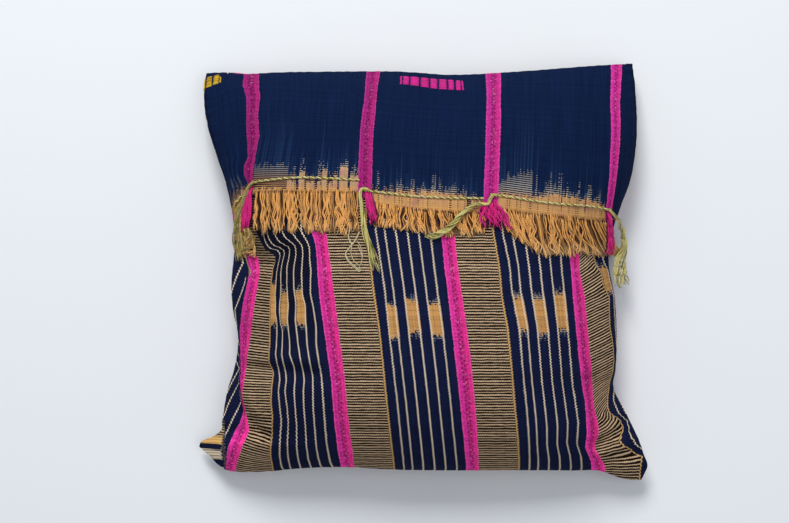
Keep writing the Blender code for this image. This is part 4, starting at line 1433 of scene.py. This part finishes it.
FRINGES = (
    FringeRow("fringe_left_side", -192.5, 65, -182.5, 70.5, 60, (52, 55, 44), (2, 12), 1.6,
              yarn=Yarn.OLIVE_YARN),
    FringeRow("fringe_left", -168.5, 79.5, -66, 74, 300, (42, 41, 40.5), (0, 1.5), 1.2, parting=-123,
              sag=0.7),
    FringeRow("fringe_middle", -53, 63, 55, 53.5, 320, (21.5, 21.5, 24.5, 23, 21),
              (-1, -1, 2, 6, 5, 2), 1.4, sag=2.5),
    FringeRow("fringe_right", 69, 58, 179, 51, 340, (24, 34, 42.5, 40, 37, 36.5, 35),
              (9, 11, 9, 8, 13, 20, 26), 1.9, sag=2.2),
)
FLAP_JOINS = (
    ClothLine(-FLAP_JOIN_HALF, (
        (-187.4, 207.4), (-186.6, 191), (-181.3, 178.2), (-179.7, 159.4), (-179.1, 141.2), (-177.5, 127.7),
        (-176.9, 114.5), (-181.6, 107), (-181.5, 97.4), (-175.9, 88.3), (-178, 70))),
    ClothLine(FLAP_JOIN_HALF, (
        (-170.2, 205), (-168.7, 187.3), (-166.4, 177.4), (-167.7, 158.5), (-165.1, 135.4), (-167.6, 122.3),
        (-170.2, 105.9), (-171.2, 96.5), (-172.5, 88), (-172, 70))),
    ClothLine(PITCH, ((-52.9, 206), (-55.5, 169), (-58.6, 137), (-59.2, 117), (-59.9, 72))),
    ClothLine(2 * PITCH - FLAP_JOIN_HALF, ((62.3, 202), (60, 152), (56.7, 93), (54.5, 58))),
    ClothLine(2 * PITCH + FLAP_JOIN_HALF, ((78.3, 202), (74.9, 152), (71, 93), (69, 58))),
    ClothLine(3 * PITCH - FLAP_JOIN_HALF, (
        (193.7, 216), (190, 190), (188, 171), (187.4, 153), (186.2, 129), (181.3, 77.5), (179.1, 56))),
    ClothLine(3 * PITCH + FLAP_JOIN_HALF, (
        (204.9, 216), (200.3, 190), (197.8, 171), (196.6, 153), (194.8, 129), (188.4, 77.5), (186.2, 56))),
)


@dataclass(frozen=True)
class DyedFlap:
    """The dyed sheet over the cushion's upper front, from the top seam to its fringed end."""

    maker: Maker
    hem_left: Row = (-195.2, 62.0)
    hem_right: Rows = ((190.5, 53.5), (194.0, 53.5))
    margin: float = 0.8
    under: float = 1.2
    over: float = 3.2
    sewn_under: float = 0.3
    sewn_over: float = 1.5
    sewn_reach: float = 22.0
    column: float = 2.4
    rows: int = 64
    left_part: float = 50.0
    right_part: float = 25.0

    def foot(self) -> tuple[Array, Array]:
        """Places x, y along the fringed end, with every corner of it among them."""
        rows = [self.hem_left]
        for row in FRINGES:
            rows += list(zip(*row.hem(np.linspace(0.0, 1.0, 12))))
        rows += list(self.hem_right)
        found = []
        for (x0, y0), (x1, y1) in zip(rows, rows[1:]):
            count = max(1, round((x1 - x0) / self.column))
            found += [(x0 + (x1 - x0) * step / count, y0 + (y1 - y0) * step / count)
                      for step in range(count)]
        places = np.array(found + [rows[-1]])
        return places[:, 0], places[:, 1]

    def cloth_place(self, x: Array, y: Array, way: Array) -> Array:
        """Map of the flap: across from its first join, and along from its fringed end."""
        knots = [(join.across, join.x_at(y)) for join in FLAP_JOINS]
        left = smooth_curve(self.maker.filling.outline.left, y)
        right = smooth_curve(self.maker.filling.outline.right, y)
        knots = [(-self.left_part, left)] + knots + [(3 * PITCH + self.right_part, right)]
        across = np.full_like(x, -self.left_part)
        for (here, x_here), (there, x_there) in zip(knots, knots[1:]):
            part = (x - x_here) / (x_there - x_here)
            across = np.where(x >= x_here, here + (there - here) * part, across)
        return np.stack([across, way], axis=-1) * MM

    def sewn(self, x: Array, y: Array) -> Array:
        """How near x, y is to the seams that hold the flap, from 0 to 1 at them."""
        outline = self.maker.filling.outline
        side = np.minimum(x - smooth_curve(outline.left, y), smooth_curve(outline.right, y) - x)
        head = smooth_curve(outline.top, x) - y
        return 1.0 - ease(np.minimum(side, head) / self.sewn_reach)

    def top_lift(self, x: Array, y: Array) -> Array:
        """Height of the flap's upper side over the cushion's front."""
        return self.over + (self.sewn_over - self.over) * self.sewn(x, y)

    def build(self, riders: Sequence[Piece]) -> Piece:
        outline = self.maker.filling.outline
        foot_x, foot_y = self.foot()
        count = len(foot_x) - 1
        head_x = np.linspace(outline.top[0][0] + self.margin, outline.top[-1][0] - self.margin, count + 1)
        head_y = smooth_curve(outline.top, head_x) - self.margin
        share = (foot_x - foot_x[0]) / (foot_x[-1] - foot_x[0])
        rise = np.sin(np.linspace(0, 1, self.rows + 1) * math.pi / 2)[:, None]
        y = foot_y + (head_y - foot_y) * rise
        left_drift = smooth_curve(outline.left, y) - smooth_curve(outline.left, foot_y)
        right_drift = smooth_curve(outline.right, y) - smooth_curve(outline.right, foot_y)
        x = foot_x + (1 - share) * left_drift + share * right_drift
        way = self.maker.cloth.way_up(x, y) - self.maker.cloth.way_up(foot_x, foot_y)
        upper = self.maker.over_face(x, y, self.top_lift(x, y))
        under = self.under + (self.sewn_under - self.under) * self.sewn(x, y)
        lower = self.maker.over_face(x, y, under)

        loop, faces = closed_sheet(count, self.rows)
        upper, lower = upper.reshape(-1, 3), lower.reshape(-1, 3)
        points = np.concatenate([upper, lower, (upper[loop] + lower[loop]) / 2])
        one = self.cloth_place(x, y, way).reshape(-1, 2)
        point_map = np.concatenate([one, one, one[loop]])
        parts = MeshParts.empty()
        parts.add(points, faces, [corner_map(block, point_map) for block in faces], (0, 0, 0, 0))
        piece = parts.build("dyed_flap", [DyedCloth("dyed_cloth").build()])
        self.maker.settle(piece, "dyed_cloth", "flap")
        width = (self.left_part + 3 * PITCH + self.right_part) * MM
        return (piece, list(riders))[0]


@dataclass(frozen=True)
class YarnBundle:
    """Builds groups of loose yarns over the face from their centre lines."""

    maker: Maker
    radius: float = 0.55
    sides: int = 5
    loose: bool = True
    root: float = 1.0
    taper: float = 0.7

    def build(self, name: str, x: Array, y: Array, lift: Array, tones: Array, finish: TwistedYarn,
              thickness: Union[float, Array] = 1.0) -> Piece:
        """Make one object of many yarns.

        Args:
            name: The object's name.
            x: Places across, as yarns by points.
            y: Places up the face.
            lift: Distances out of the face.
            tones: One tone for each yarn.
            finish: The yarn's finish.
            thickness: How thick each yarn is, beside the usual one.

        Returns:
            The object.
        """
        centres = self.maker.over_face(x, y, lift, self.loose)
        rings = x.shape[1]
        radii = self.radius * MM * np.interp(np.arange(rings), [0, 2, rings - 3, rings - 1],
                                             [self.root, 1.0, 1.0, self.taper])
        parts = MeshParts.empty()
        radii = np.broadcast_to(thickness, len(x))[:, None] * radii[None, :]
        tube_parts(parts, centres, self.maker.outward(x, y, self.loose), radii, self.sides, tones)
        return parts.build(name, [finish.build()])


@dataclass(frozen=True)
class Fringe:
    """One strip's warp ends: many fine yarns that curl in locks, with ragged roots and tips."""

    maker: Maker
    row: FringeRow
    seed: int
    points: int = 22
    place_scatter: float = 0.4
    root_scatter: Row = (-0.6, 3.4)
    upper_share: float = 0.36
    upper_depth: Row = (0.6, 1.0)
    lower_depth: Row = (0.0, 0.35)
    upper_thickness: float = 1.1
    lock_width: float = 4.2
    lock_scatter: float = 0.3
    lock_length: float = 0.03
    lock_pull: float = 0.2
    shortening: float = 0.06
    lean_scatter: float = 0.9
    parting_width: float = 3.4
    parting_reach: float = 4.0
    wave: float = 17.0
    lock_wave: Row = (0.8, 1.5)
    own_wave: Row = (0.85, 1.15)
    phase_scatter: float = 0.7
    lock_curl: Row = (0.3, 1.5)
    own_curl: Row = (0.7, 1.3)
    wander: float = 1.1
    root_lift: float = 2.9
    crest_lift: float = 3.5
    crest_pile: float = 0.6
    ground_lift: float = 0.75
    ground_pile: float = 3.0
    least_lift: float = 0.6
    drop: float = 5.0
    tip: Row = (0.75, 1.3)
    radius: float = 0.5
    root_radius: float = 0.4

    def build(self) -> Piece:
        """Build and dress the fringe."""
        row, random = self.row, np.random.default_rng(self.seed)
        count = row.strands
        place = random.uniform(-self.place_scatter, self.place_scatter, count)
        share = (np.arange(count) + 0.5 + place) / count
        root_x, hem_y = row.hem(share)
        root_y = hem_y + random.uniform(*self.root_scatter, count)
        upper = random.uniform(0.0, 1.0, count) < self.upper_share
        locks = max(3, round((row.x1 - row.x0) / self.lock_width))
        lock_place = random.uniform(-self.lock_scatter, self.lock_scatter, locks)
        lock_at = np.sort((np.arange(locks) + 0.5 + lock_place) / locks)
        mine = np.argmin(np.abs(share[:, None] - lock_at[None, :]), axis=1)
        lengths = np.interp(share, np.linspace(0, 1, len(row.lengths)), row.lengths)
        lengths = lengths * random.normal(1.0, self.lock_length, locks)[mine] * (
            1.0 - np.abs(random.normal(0.0, self.shortening, count)))
        lean = np.interp(share, np.linspace(0, 1, len(row.leans)), row.leans)
        lean = lean + random.normal(0.0, self.lean_scatter, locks)[mine]
        parting = np.zeros(count)
        if row.parting is not None:
            away = root_x - row.parting
            parting = np.sign(away) * self.parting_width * np.exp(-np.abs(away) / self.parting_reach)

        part = np.linspace(0.0, 1.0, self.points)[None, :]
        down = part * lengths[:, None]
        depth = np.where(upper, random.uniform(*self.upper_depth, count),
                         random.uniform(*self.lower_depth, count))[:, None]
        to_lock = row.x0 + (row.x1 - row.x0) * lock_at[mine] - root_x
        gather = to_lock[:, None] * self.lock_pull * ease(part)
        wave = random.uniform(*self.lock_wave, locks)[mine] * random.uniform(*self.own_wave, count)
        phase = random.uniform(0.0, math.tau, locks)[mine] + random.normal(0.0, self.phase_scatter, count)
        turn = down / (self.wave * wave[:, None]) * math.tau + phase[:, None]
        curl = random.uniform(*self.lock_curl, locks)[mine] * random.uniform(*self.own_curl, count)
        bend = row.curl * curl[:, None]
        swing = bend * (0.4 + 0.7 * depth) * (np.sin(turn) - np.sin(turn[:, :1])) * ease(part * 1.6)
        wander = random.normal(0.0, self.wander, count)[:, None] * part ** 1.5
        x = (root_x[:, None] + lean[:, None] * part ** 1.4 + gather + swing + wander
             + parting[:, None] * part ** 1.2)
        y = root_y[:, None] - down + 0.3 * np.cos(turn) * part
        past = (hem_y[:, None] - y) / self.drop
        crest = self.crest_lift + self.crest_pile * depth
        crest = self.root_lift + (crest - self.root_lift) * ease(part * 8)
        ground = self.ground_lift + self.ground_pile * depth * (1.0 - 0.45 * part)
        ground = ground + 0.5 * np.sin(turn * 1.3)
        lift = crest + (np.maximum(ground, self.least_lift) - crest) * ease(past)
        # Painted shade: yarns that lie lower get a lower tone, which their finish paints darker.
        tones = np.clip(depth[:, 0] + random.normal(-0.02, 0.14, count), 0.0, 1.0)
        finish = TwistedYarn(row.node + "_yarn", Yarn.PEACH_SHADE, row.yarn, Yarn.PEACH_TIP,
                             *(lengths.mean() * MM * at for at in self.tip))
        bundle = YarnBundle(self.maker, radius=self.radius, root=self.root_radius)
        piece = bundle.build(row.node + "_yarns", x, y, lift, tones, finish,
                             np.where(upper, self.upper_thickness, 1.0))
        return self.maker.settle(piece, "fringe_yarn", row.node)


@dataclass(frozen=True)
class TuftRow:
    """The magenta warp ends of one join: a route of x, y down its middle and its widths on the way."""

    node: str
    route: Rows
    widths: tuple[float, ...]
    strands: int
    curl: float


TUFT_ROWS = (
    TuftRow("tuft_1", ((-172.9, 86), (-175.4, 70.8), (-177.2, 50), (-178.8, 39.9)), (4, 7.5, 9, 7), 36,
            0.9),
    TuftRow("tuft_2", ((-56.5, 74), (-53.9, 62.1), (-51.4, 51.3), (-50.2, 42)), (6, 8, 8, 6.5), 36, 0.8),
    TuftRow("tuft_3", ((61.8, 65), (61.6, 58.3), (64, 50), (67.5, 36.5)), (12, 16, 23, 31), 84, 2.6),
    TuftRow("tuft_4", ((182, 62), (182.6, 50.1), (184.4, 38), (185.5, 25), (184.5, 16)),
            (4, 3, 3.5, 9, 13), 30, 1.8),
)


@dataclass(frozen=True)
class Tuft:
    """Magenta yarns that hang from a join, over the fringes beside it."""

    maker: Maker
    row: TuftRow
    seed: int
    points: int = 18
    reach_scatter: float = 0.2
    waves: float = 7.0
    upper_share: float = 0.5
    upper_depth: Row = (0.6, 1.0)
    lower_depth: Row = (0.0, 0.4)
    root_lift: float = 3.4
    pile: float = 2.8
    drop: float = 1.6
    tip: Row = (0.042, 0.09)
    radius: float = 0.6

    def build(self) -> Piece:
        """Build and dress the tuft."""
        random = np.random.default_rng(self.seed)
        count, rows = self.row.strands, np.array(self.row.route)
        reach = 1.0 - np.abs(random.normal(0.0, self.reach_scatter, count))
        part = np.linspace(0.0, 1.0, self.points)[None, :] * reach[:, None]
        knots = np.linspace(0.0, 1.0, len(rows))
        share = np.linspace(-0.5, 0.5, count)[random.permutation(count)]
        width = np.interp(part, knots, self.row.widths)
        turn = part * self.waves + random.uniform(0.0, math.tau, count)[:, None]
        bend = self.row.curl * (np.sin(turn) - np.sin(turn[:, :1])) * ease(part * 1.5)
        x = smooth_curve(list(zip(knots, rows[:, 0])), part) + share[:, None] * width + bend
        y = smooth_curve(list(zip(knots, rows[:, 1])), part) + 0.4 * self.row.curl * np.cos(turn) * part
        upper = random.uniform(0.0, 1.0, count) < self.upper_share
        depth = np.where(upper, random.uniform(*self.upper_depth, count),
                         random.uniform(*self.lower_depth, count))[:, None]
        lift = (self.root_lift + self.pile * depth * ease(part * 5) + 0.4 * np.sin(turn * 1.4)
                - self.drop * ease(part * 1.4 - 0.4))
        # Painted shade: yarns that lie lower get a lower tone, which their finish paints darker.
        tones = np.clip(depth[:, 0] * 0.95 + random.normal(0.03, 0.12, count), 0.0, 1.0)
        finish = TwistedYarn(self.row.node + "_yarn", Yarn.TUFT_SHADE, Yarn.TUFT, Yarn.PEACH, *self.tip)
        bundle = YarnBundle(self.maker, radius=self.radius)
        piece = bundle.build(self.row.node + "_yarns", x, y, lift, tones, finish)
        return self.maker.settle(piece, "magenta_yarn", self.row.node)


END_CORDS: dict[str, Rows] = {
    "end_cord_left_side": ((-190, 71), (-185.5, 74.5), (-180.5, 78.5)),
    "end_cord_left": ((-170, 89.5), (-149.4, 90.2), (-122.3, 90.4), (-94.2, 88.6), (-64.8, 86.3)),
    "end_cord_middle": ((-62, 76.3), (-41.6, 73.7), (-19.9, 71), (14.8, 68.8), (55.5, 68.2)),
    "end_cord_right": ((62, 71.9), (81.3, 69.9), (106.9, 66.3), (132.8, 64.4), (160, 64.4), (181, 62.9)),
}


def along_route(rows: Sequence[Sequence[float]], part: Array) -> list[Array]:
    """Read each column of a route at shares of its length, on smooth curves."""
    table = np.array(rows, dtype=float)
    travelled = np.concatenate([[0.0], np.cumsum(np.hypot(*np.diff(table[:, :2], axis=0).T))])
    travelled /= travelled[-1]
    return [smooth_curve(list(zip(travelled, column)), part) for column in table.T]


@dataclass(frozen=True)
class EndCord:
    """The twined cord across a strip's end: two stout yarns laid round each other."""

    maker: Maker
    name: str
    route: Rows
    lay: float = 6.4
    strand: float = 0.6
    lift: float = 4.4
    yarn: Yarn = Yarn.LIME
    steps_a_turn: int = 14
    sides: int = 6
    # Painted shade: the second ply's lower tone paints it darker than the first.
    tones: Row = (1.0, 0.3)
    ply_lay: float = 1.6
    ply_depth: float = 0.15
    patchy: float = 0.7

    def build(self) -> Piece:
        """Build and dress the cord."""
        length = math.dist(self.route[0], self.route[-1])
        steps = round(length / self.lay * self.steps_a_turn)
        part = np.linspace(0.0, 1.0, steps + 1)
        x, y = along_route(self.route, part)
        centre = self.maker.over_face(x, y, self.lift)
        up = self.maker.outward(x, y)
        run = np.gradient(centre, axis=0)
        run /= np.linalg.norm(run, axis=-1, keepdims=True)
        side = np.cross(up, run)
        turn = part * length / self.lay * math.tau
        strands = [centre + self.strand * MM
                   * (np.cos(turn + start)[:, None] * side + np.sin(turn + start)[:, None] * up)
                   for start in (0.0, math.pi)]
        parts = MeshParts.empty()
        tube_parts(parts, np.array(strands), np.array([up, up]), np.full((2, len(part)), self.strand * MM),
                   self.sides, np.array(self.tones))
        finish = TwistedYarn(self.name + "_yarn", Yarn.LIME_SHADE, self.yarn, Yarn.LIME_PALE,
                             lay=self.ply_lay, depth=self.ply_depth, patchy=self.patchy)
        piece = parts.build(self.name + "_twine", [finish.build()])
        return self.maker.settle(piece, "end_cord_yarn", self.name)


@dataclass(frozen=True)
class LooseRow:
    """The tail of an end cord: its route as x, y and height over the face, and how its yarns lie."""

    name: str
    route: tuple[Point, ...]
    strands: int
    head_width: float
    foot_width: float
    turns: float
    curl: float
    node: Optional[str] = None
    yarn: Yarn = Yarn.LIME
    radius: float = 0.5


LOOSE_ENDS = (
    LooseRow("loose_end_1_yarns", (
        (-168, 90, 5.4), (-172.5, 86.5, 6), (-178, 76, 6.4), (-183.5, 62, 6), (-186.5, 47, 5.2),
        (-186, 28, 4.6), (-182, 11, 3.2)), 30, 3, 11, 0.6, 1.5, "loose_end_1", Yarn.OLIVE_YARN, 0.4),
    LooseRow("loose_end_2_yarns", (
        (-55, 76, 5.4), (-59.5, 77.3, 6.2), (-62.8, 76.3, 6.6), (-63.9, 71.5, 6.8), (-62.8, 64, 6.8),
        (-61.5, 53.8, 6.6), (-60.3, 43, 6.4), (-58.4, 32, 5), (-55.3, 22, 3.4), (-51.4, 9, 1.8),
        (-47, -5, 1)), 16, 2.6, 7.5, 0.8, 1, "loose_end_2"),
    LooseRow("loose_end_3_yarns", (
        (69.3, 71.1, 5.4), (64.5, 71.3, 6.4), (61.3, 67, 6.8), (59.3, 62.6, 7), (55.3, 61.8, 7.2),
        (48.3, 62.4, 7.4), (41.4, 58.6, 7.4), (34.4, 52.8, 7.2), (28.4, 46.8, 6.8), (22.4, 39.8, 6.2),
        (14.5, 34.6, 5), (8.6, 32.2, 4), (0.7, 31.6, 2.6), (-1.6, 32.4, 2.4)), 15, 2.6, 6, 3.4, 0.5,
        "loose_end_3"),
    LooseRow("loose_end_4_yarns", (
        (181, 63.5, 5.4), (187, 58, 6.4), (192.1, 52, 6.8), (198, 40, 6.8), (199, 27, 6.4),
        (196, 12, 5.6), (197, -6, 4.6), (200, -16, 4.2)), 20, 3, 17, 1, 2, "loose_end_4"),
    LooseRow("stray_yarn_1", ((-178.5, 14, 2.6), (-177.6, 7, 1.2), (-175.8, -1, 0.8), (-177, -5.5, 0.7)),
             2, 0.8, 1.4, 0.5, 0.4, None, Yarn.CREAM, 0.36),
    LooseRow("stray_yarn_2", (
        (-65, 36, 3.4), (-69, 28, 1.6), (-75.6, 19.7, 0.9), (-78.6, 14.7, 0.8), (-76.6, 9.7, 0.8),
        (-68.6, 0.7, 0.8), (-65.1, -2.2, 0.8), (-64.4, 3.7, 0.8)), 3, 0.8, 1.8, 0.5, 0.5, None,
        Yarn.LIME_PALE, 0.32),
    LooseRow("stray_yarn_3", (
        (-74.3, 38, 3), (-75.8, 31.6, 1.2), (-72.6, 23.6, 0.8), (-73.3, 15.7, 1.1), (-69.4, 6.9, 1.4),
        (-64.6, 3.7, 1.2), (-62.6, 10, 0.9), (-64.5, 20, 1), (-70, 30, 1.4)), 2, 0.8, 1.6, 0.5, 0.5, None,
        Yarn.LIME_PALE, 0.32),
    LooseRow("stray_yarn_4", ((-175.5, 43, 6.4), (-173.5, 34, 5.8), (-173.5, 25, 4.8), (-177, 15, 3.8)),
             24, 6, 14, 0.6, 2.6, None, Yarn.PEACH, 0.42),
)


@dataclass(frozen=True)
class LooseEnd:
    """The untwisted tail of an end cord: crinkled yarns lying over the fringe."""

    maker: Maker
    row: LooseRow
    seed: int
    points: int = 44
    reach_scatter: float = 0.09
    waves: float = 11.0
    inner: float = 0.2
    outer: float = 0.3
    pile: float = 0.28
    widest_pile: float = 3.5
    clearance: float = 0.1
    tones: Row = (0.1, 1.15)
    ply_lay: float = 1.8
    patchy: float = 0.45

    def build(self) -> Piece:
        """Build and dress the loose end."""
        row, random = self.row, np.random.default_rng(self.seed)
        reach = 1.0 - np.abs(random.normal(0.0, self.reach_scatter, row.strands))
        part = np.linspace(0.0, 1.0, self.points)[None, :] * reach[:, None]
        x, y, lift = along_route(row.route, part)
        run_x, run_y = np.gradient(x, axis=1), np.gradient(y, axis=1)
        size = np.hypot(run_x, run_y)
        width = row.head_width + (row.foot_width - row.head_width) * ease(part * 1.3 - 0.2)
        start = (np.arange(row.strands) / row.strands * math.tau)[:, None]
        turn = start + row.turns * math.tau * part
        phase = random.uniform(0.0, math.tau, row.strands)[:, None]
        away = random.uniform(0.0, 1.0, row.strands)[:, None] ** 0.5
        aside = width * (self.inner + self.outer * away) * np.cos(turn)
        aside = aside + row.curl * np.sin(part * self.waves + phase) * part
        x, y = x - run_y / size * aside, y + run_x / size * aside
        lift = lift + np.minimum(width, self.widest_pile) * self.pile * np.sin(turn)
        lift = np.maximum(lift, row.radius + self.clearance)
        tones = np.clip(random.uniform(*self.tones, row.strands), 0.0, 1.0)
        finish = TwistedYarn(row.name + "_finish", Yarn.LIME_SHADE, row.yarn, Yarn.LIME_PALE,
                             lay=self.ply_lay, patchy=self.patchy)
        piece = YarnBundle(self.maker, radius=row.radius).build(row.name, x, y, lift, tones, finish)
        nodes = [row.node] if row.node else []
        return self.maker.settle(piece, "end_cord_yarn", *nodes)


@dataclass(frozen=True)
class InlayBar:
    """A small block laid in with thick weft yarn: its sides, and its top and bottom at both."""

    left: float
    right: float
    top_left: float
    top_right: float
    bottom_left: float
    bottom_right: float


MAGENTA_BARS = (
    InlayBar(-25.4, -23.8, 198, 197.9, 187.4, 187.2), InlayBar(-22.6, -16.5, 198.2, 197.6, 187.2, 186.8),
    InlayBar(-15.1, -6.7, 197.5, 196.8, 186, 185.2), InlayBar(-4.9, 3, 196.7, 196, 184.6, 183.9),
    InlayBar(4.8, 12.3, 195.9, 195.2, 183.4, 182.8), InlayBar(14.1, 22, 195, 194.4, 182.4, 181.9),
    InlayBar(23.4, 29.2, 194.3, 193.9, 181.6, 181.3), InlayBar(31, 35.9, 193.7, 193.4, 181.1, 180.9),
    InlayBar(37.2, 38.8, 193.2, 193, 181, 180.9),
)
YELLOW_BARS = (
    InlayBar(-228.1, -227.2, 202.6, 203, 188.8, 189.2),
    InlayBar(-225.9, -219.4, 203.6, 204.2, 191.6, 192.7),
    InlayBar(-218, -211.9, 204.7, 205.4, 193.5, 194.3),
    InlayBar(-210.7, -209.8, 202.7, 202.4, 195.3, 195.8),
)


@dataclass(frozen=True)
class Inlay:
    """Small bars of thick weft yarn laid in on the flap."""

    maker: Maker
    flap: DyedFlap
    name: str
    slot: str
    bars: tuple[InlayBar, ...]
    colour: Yarn
    seed: int
    pitch: float = 1.3
    points: int = 7
    jitter: float = 0.25
    crown: float = 0.35
    sunk: float = 0.1
    tones: Row = (0.6, 1.0)
    ply_lay: float = 2.2
    radius: float = 0.66
    root_radius: float = 0.7

    def build(self) -> Piece:
        """Build and dress the bars."""
        random = np.random.default_rng(self.seed)
        part = np.linspace(0.0, 1.0, self.points)
        x, y = [], []
        for bar in self.bars:
            count = max(2, round((bar.top_left - bar.bottom_left) / self.pitch))
            for rise in (np.arange(count) + 0.5) / count:
                left_y = bar.bottom_left + (bar.top_left - bar.bottom_left) * rise
                right_y = bar.bottom_right + (bar.top_right - bar.bottom_right) * rise
                jitter = random.uniform(-self.jitter, self.jitter, 2)
                x.append(bar.left + jitter[0] + (bar.right - bar.left + jitter[1] - jitter[0]) * part)
                y.append(left_y + (right_y - left_y) * part)
        x, y = np.array(x), np.array(y)
        lift = self.flap.top_lift(x, y) + self.crown * np.sin(part * math.pi)[None, :] ** 0.4 - self.sunk
        finish = TwistedYarn(self.name + "_yarn", Yarn.INLAY_SHADE, self.colour, self.colour,
                             lay=self.ply_lay)
        bundle = YarnBundle(self.maker, radius=self.radius, loose=False, root=self.root_radius)
        piece = bundle.build(self.name, x, y, lift, random.uniform(*self.tones, len(x)), finish)
        return self.maker.settle(piece, self.slot)


@dataclass(frozen=True)
class Lamp:
    """A square soft light: its place and size in metres, and its power in watts."""

    name: str
    place: Point
    size: float
    power: float

    def build(self, target: Point) -> None:
        """Hang the lamp so that it faces a target."""
        data = bpy.data.lights.new(self.name, "AREA")
        data.size = self.size
        data.energy = self.power
        lamp = bpy.data.objects.new(self.name, data)
        lamp.location = self.place
        lamp.rotation_mode = "QUATERNION"
        lamp.rotation_quaternion = (Vector(target) - Vector(self.place)).to_track_quat("-Z", "Y")
        bpy.context.scene.collection.objects.link(lamp)


@dataclass(frozen=True)
class Studio:
    """A pale floor, soft lights and the camera, which looks almost straight down at the face."""

    cover: CoverFrame
    aim: Point = (-31.1, 11.2, 45.0)
    distance: float = 1455.0
    tilt: float = 3.0
    focal_pixels: float = 1426.5
    width_pixels: float = 789.0
    sensor: float = 36.0
    lit: Point = (0.0, 0.0, 0.05)
    lamps: tuple[Lamp, ...] = (Lamp("key", (-0.5, 2.1, 2.2), 1.2, 80.0),
                               Lamp("fill", (0.5, -0.3, 2.1), 1.6, 12.0))
    floor_size: float = 12.0
    floor_colour: Point = (0.72, 0.74, 0.76)
    floor_roughness: float = 0.9
    room_colour: Point = (0.86, 0.92, 1.0)
    room_light: float = 0.38

    def camera(self) -> None:
        """Put the camera where it sees the face as the photograph does."""
        data = bpy.data.cameras.new("camera")
        data.sensor_width = self.sensor
        data.lens = self.sensor * self.focal_pixels / self.width_pixels
        aim = Vector(self.cover.points(self.aim))
        tilt = math.radians(self.tilt)
        eye = aim + Vector((0.0, -math.sin(tilt), math.cos(tilt))) * self.distance * MM
        camera = bpy.data.objects.new("camera", data)
        camera.location = eye
        camera.rotation_mode = "QUATERNION"
        camera.rotation_quaternion = (aim - eye).to_track_quat("-Z", "Y")
        bpy.context.scene.collection.objects.link(camera)
        bpy.context.scene.camera = camera

    def floor(self) -> None:
        """Lay the pale floor."""
        bpy.ops.mesh.primitive_plane_add(size=self.floor_size)
        floor = bpy.context.object
        floor.name = "floor"
        material = bpy.data.materials.new("floor")
        material.use_nodes = True
        shader = material.node_tree.nodes["Principled BSDF"]
        shader.inputs["Base Color"].default_value = (*self.floor_colour, 1.0)
        shader.inputs["Roughness"].default_value = self.floor_roughness
        floor.data.materials.append(material)

    def build(self) -> None:
        """Set the stage."""
        self.floor()
        self.camera()
        for lamp in self.lamps:
            lamp.build(self.lit)
        world = bpy.data.worlds.new("room")
        world.use_nodes = True
        sky = world.node_tree.nodes["Background"]
        sky.inputs[0].default_value = (*self.room_colour, 1.0)
        sky.inputs[1].default_value = self.room_light
        bpy.context.scene.world = world
        bpy.context.scene.view_settings.view_transform = "Standard"


def main() -> None:
    """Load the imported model, build the cover's pieces round it and report them."""
    logging.basicConfig(level=logging.INFO, format="%(name)s: %(message)s")
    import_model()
    bpy.ops.object.select_all(action="DESELECT")
    filling = Filling()
    cover = CoverFrame.from_body(filling.outline)
    maker = Maker(filling, cover, ClothMap.of(filling))
    Studio(cover).build()
    CushionCover(maker).build()
    riders = [Fringe(maker, row, seed).build() for seed, row in enumerate(FRINGES)]
    riders += [Tuft(maker, row, TUFT_SEED + seed).build() for seed, row in enumerate(TUFT_ROWS)]
    riders += [EndCord(maker, name, route).build() for name, route in END_CORDS.items()]
    riders += [LooseEnd(maker, row, LOOSE_SEED + seed).build() for seed, row in enumerate(LOOSE_ENDS)]
    flap = DyedFlap(maker)
    riders += [Inlay(maker, flap, "inlay_bars_magenta", "magenta_yarn", MAGENTA_BARS, Yarn.INLAY_MAGENTA,
                     INLAY_SEED).build(),
               Inlay(maker, flap, "inlay_bars_yellow", "end_cord_yarn", YELLOW_BARS, Yarn.INLAY_YELLOW,
                     INLAY_SEED + 1).build()]
    flap.build(riders)
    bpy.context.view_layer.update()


if __name__ == "__main__":
    main()
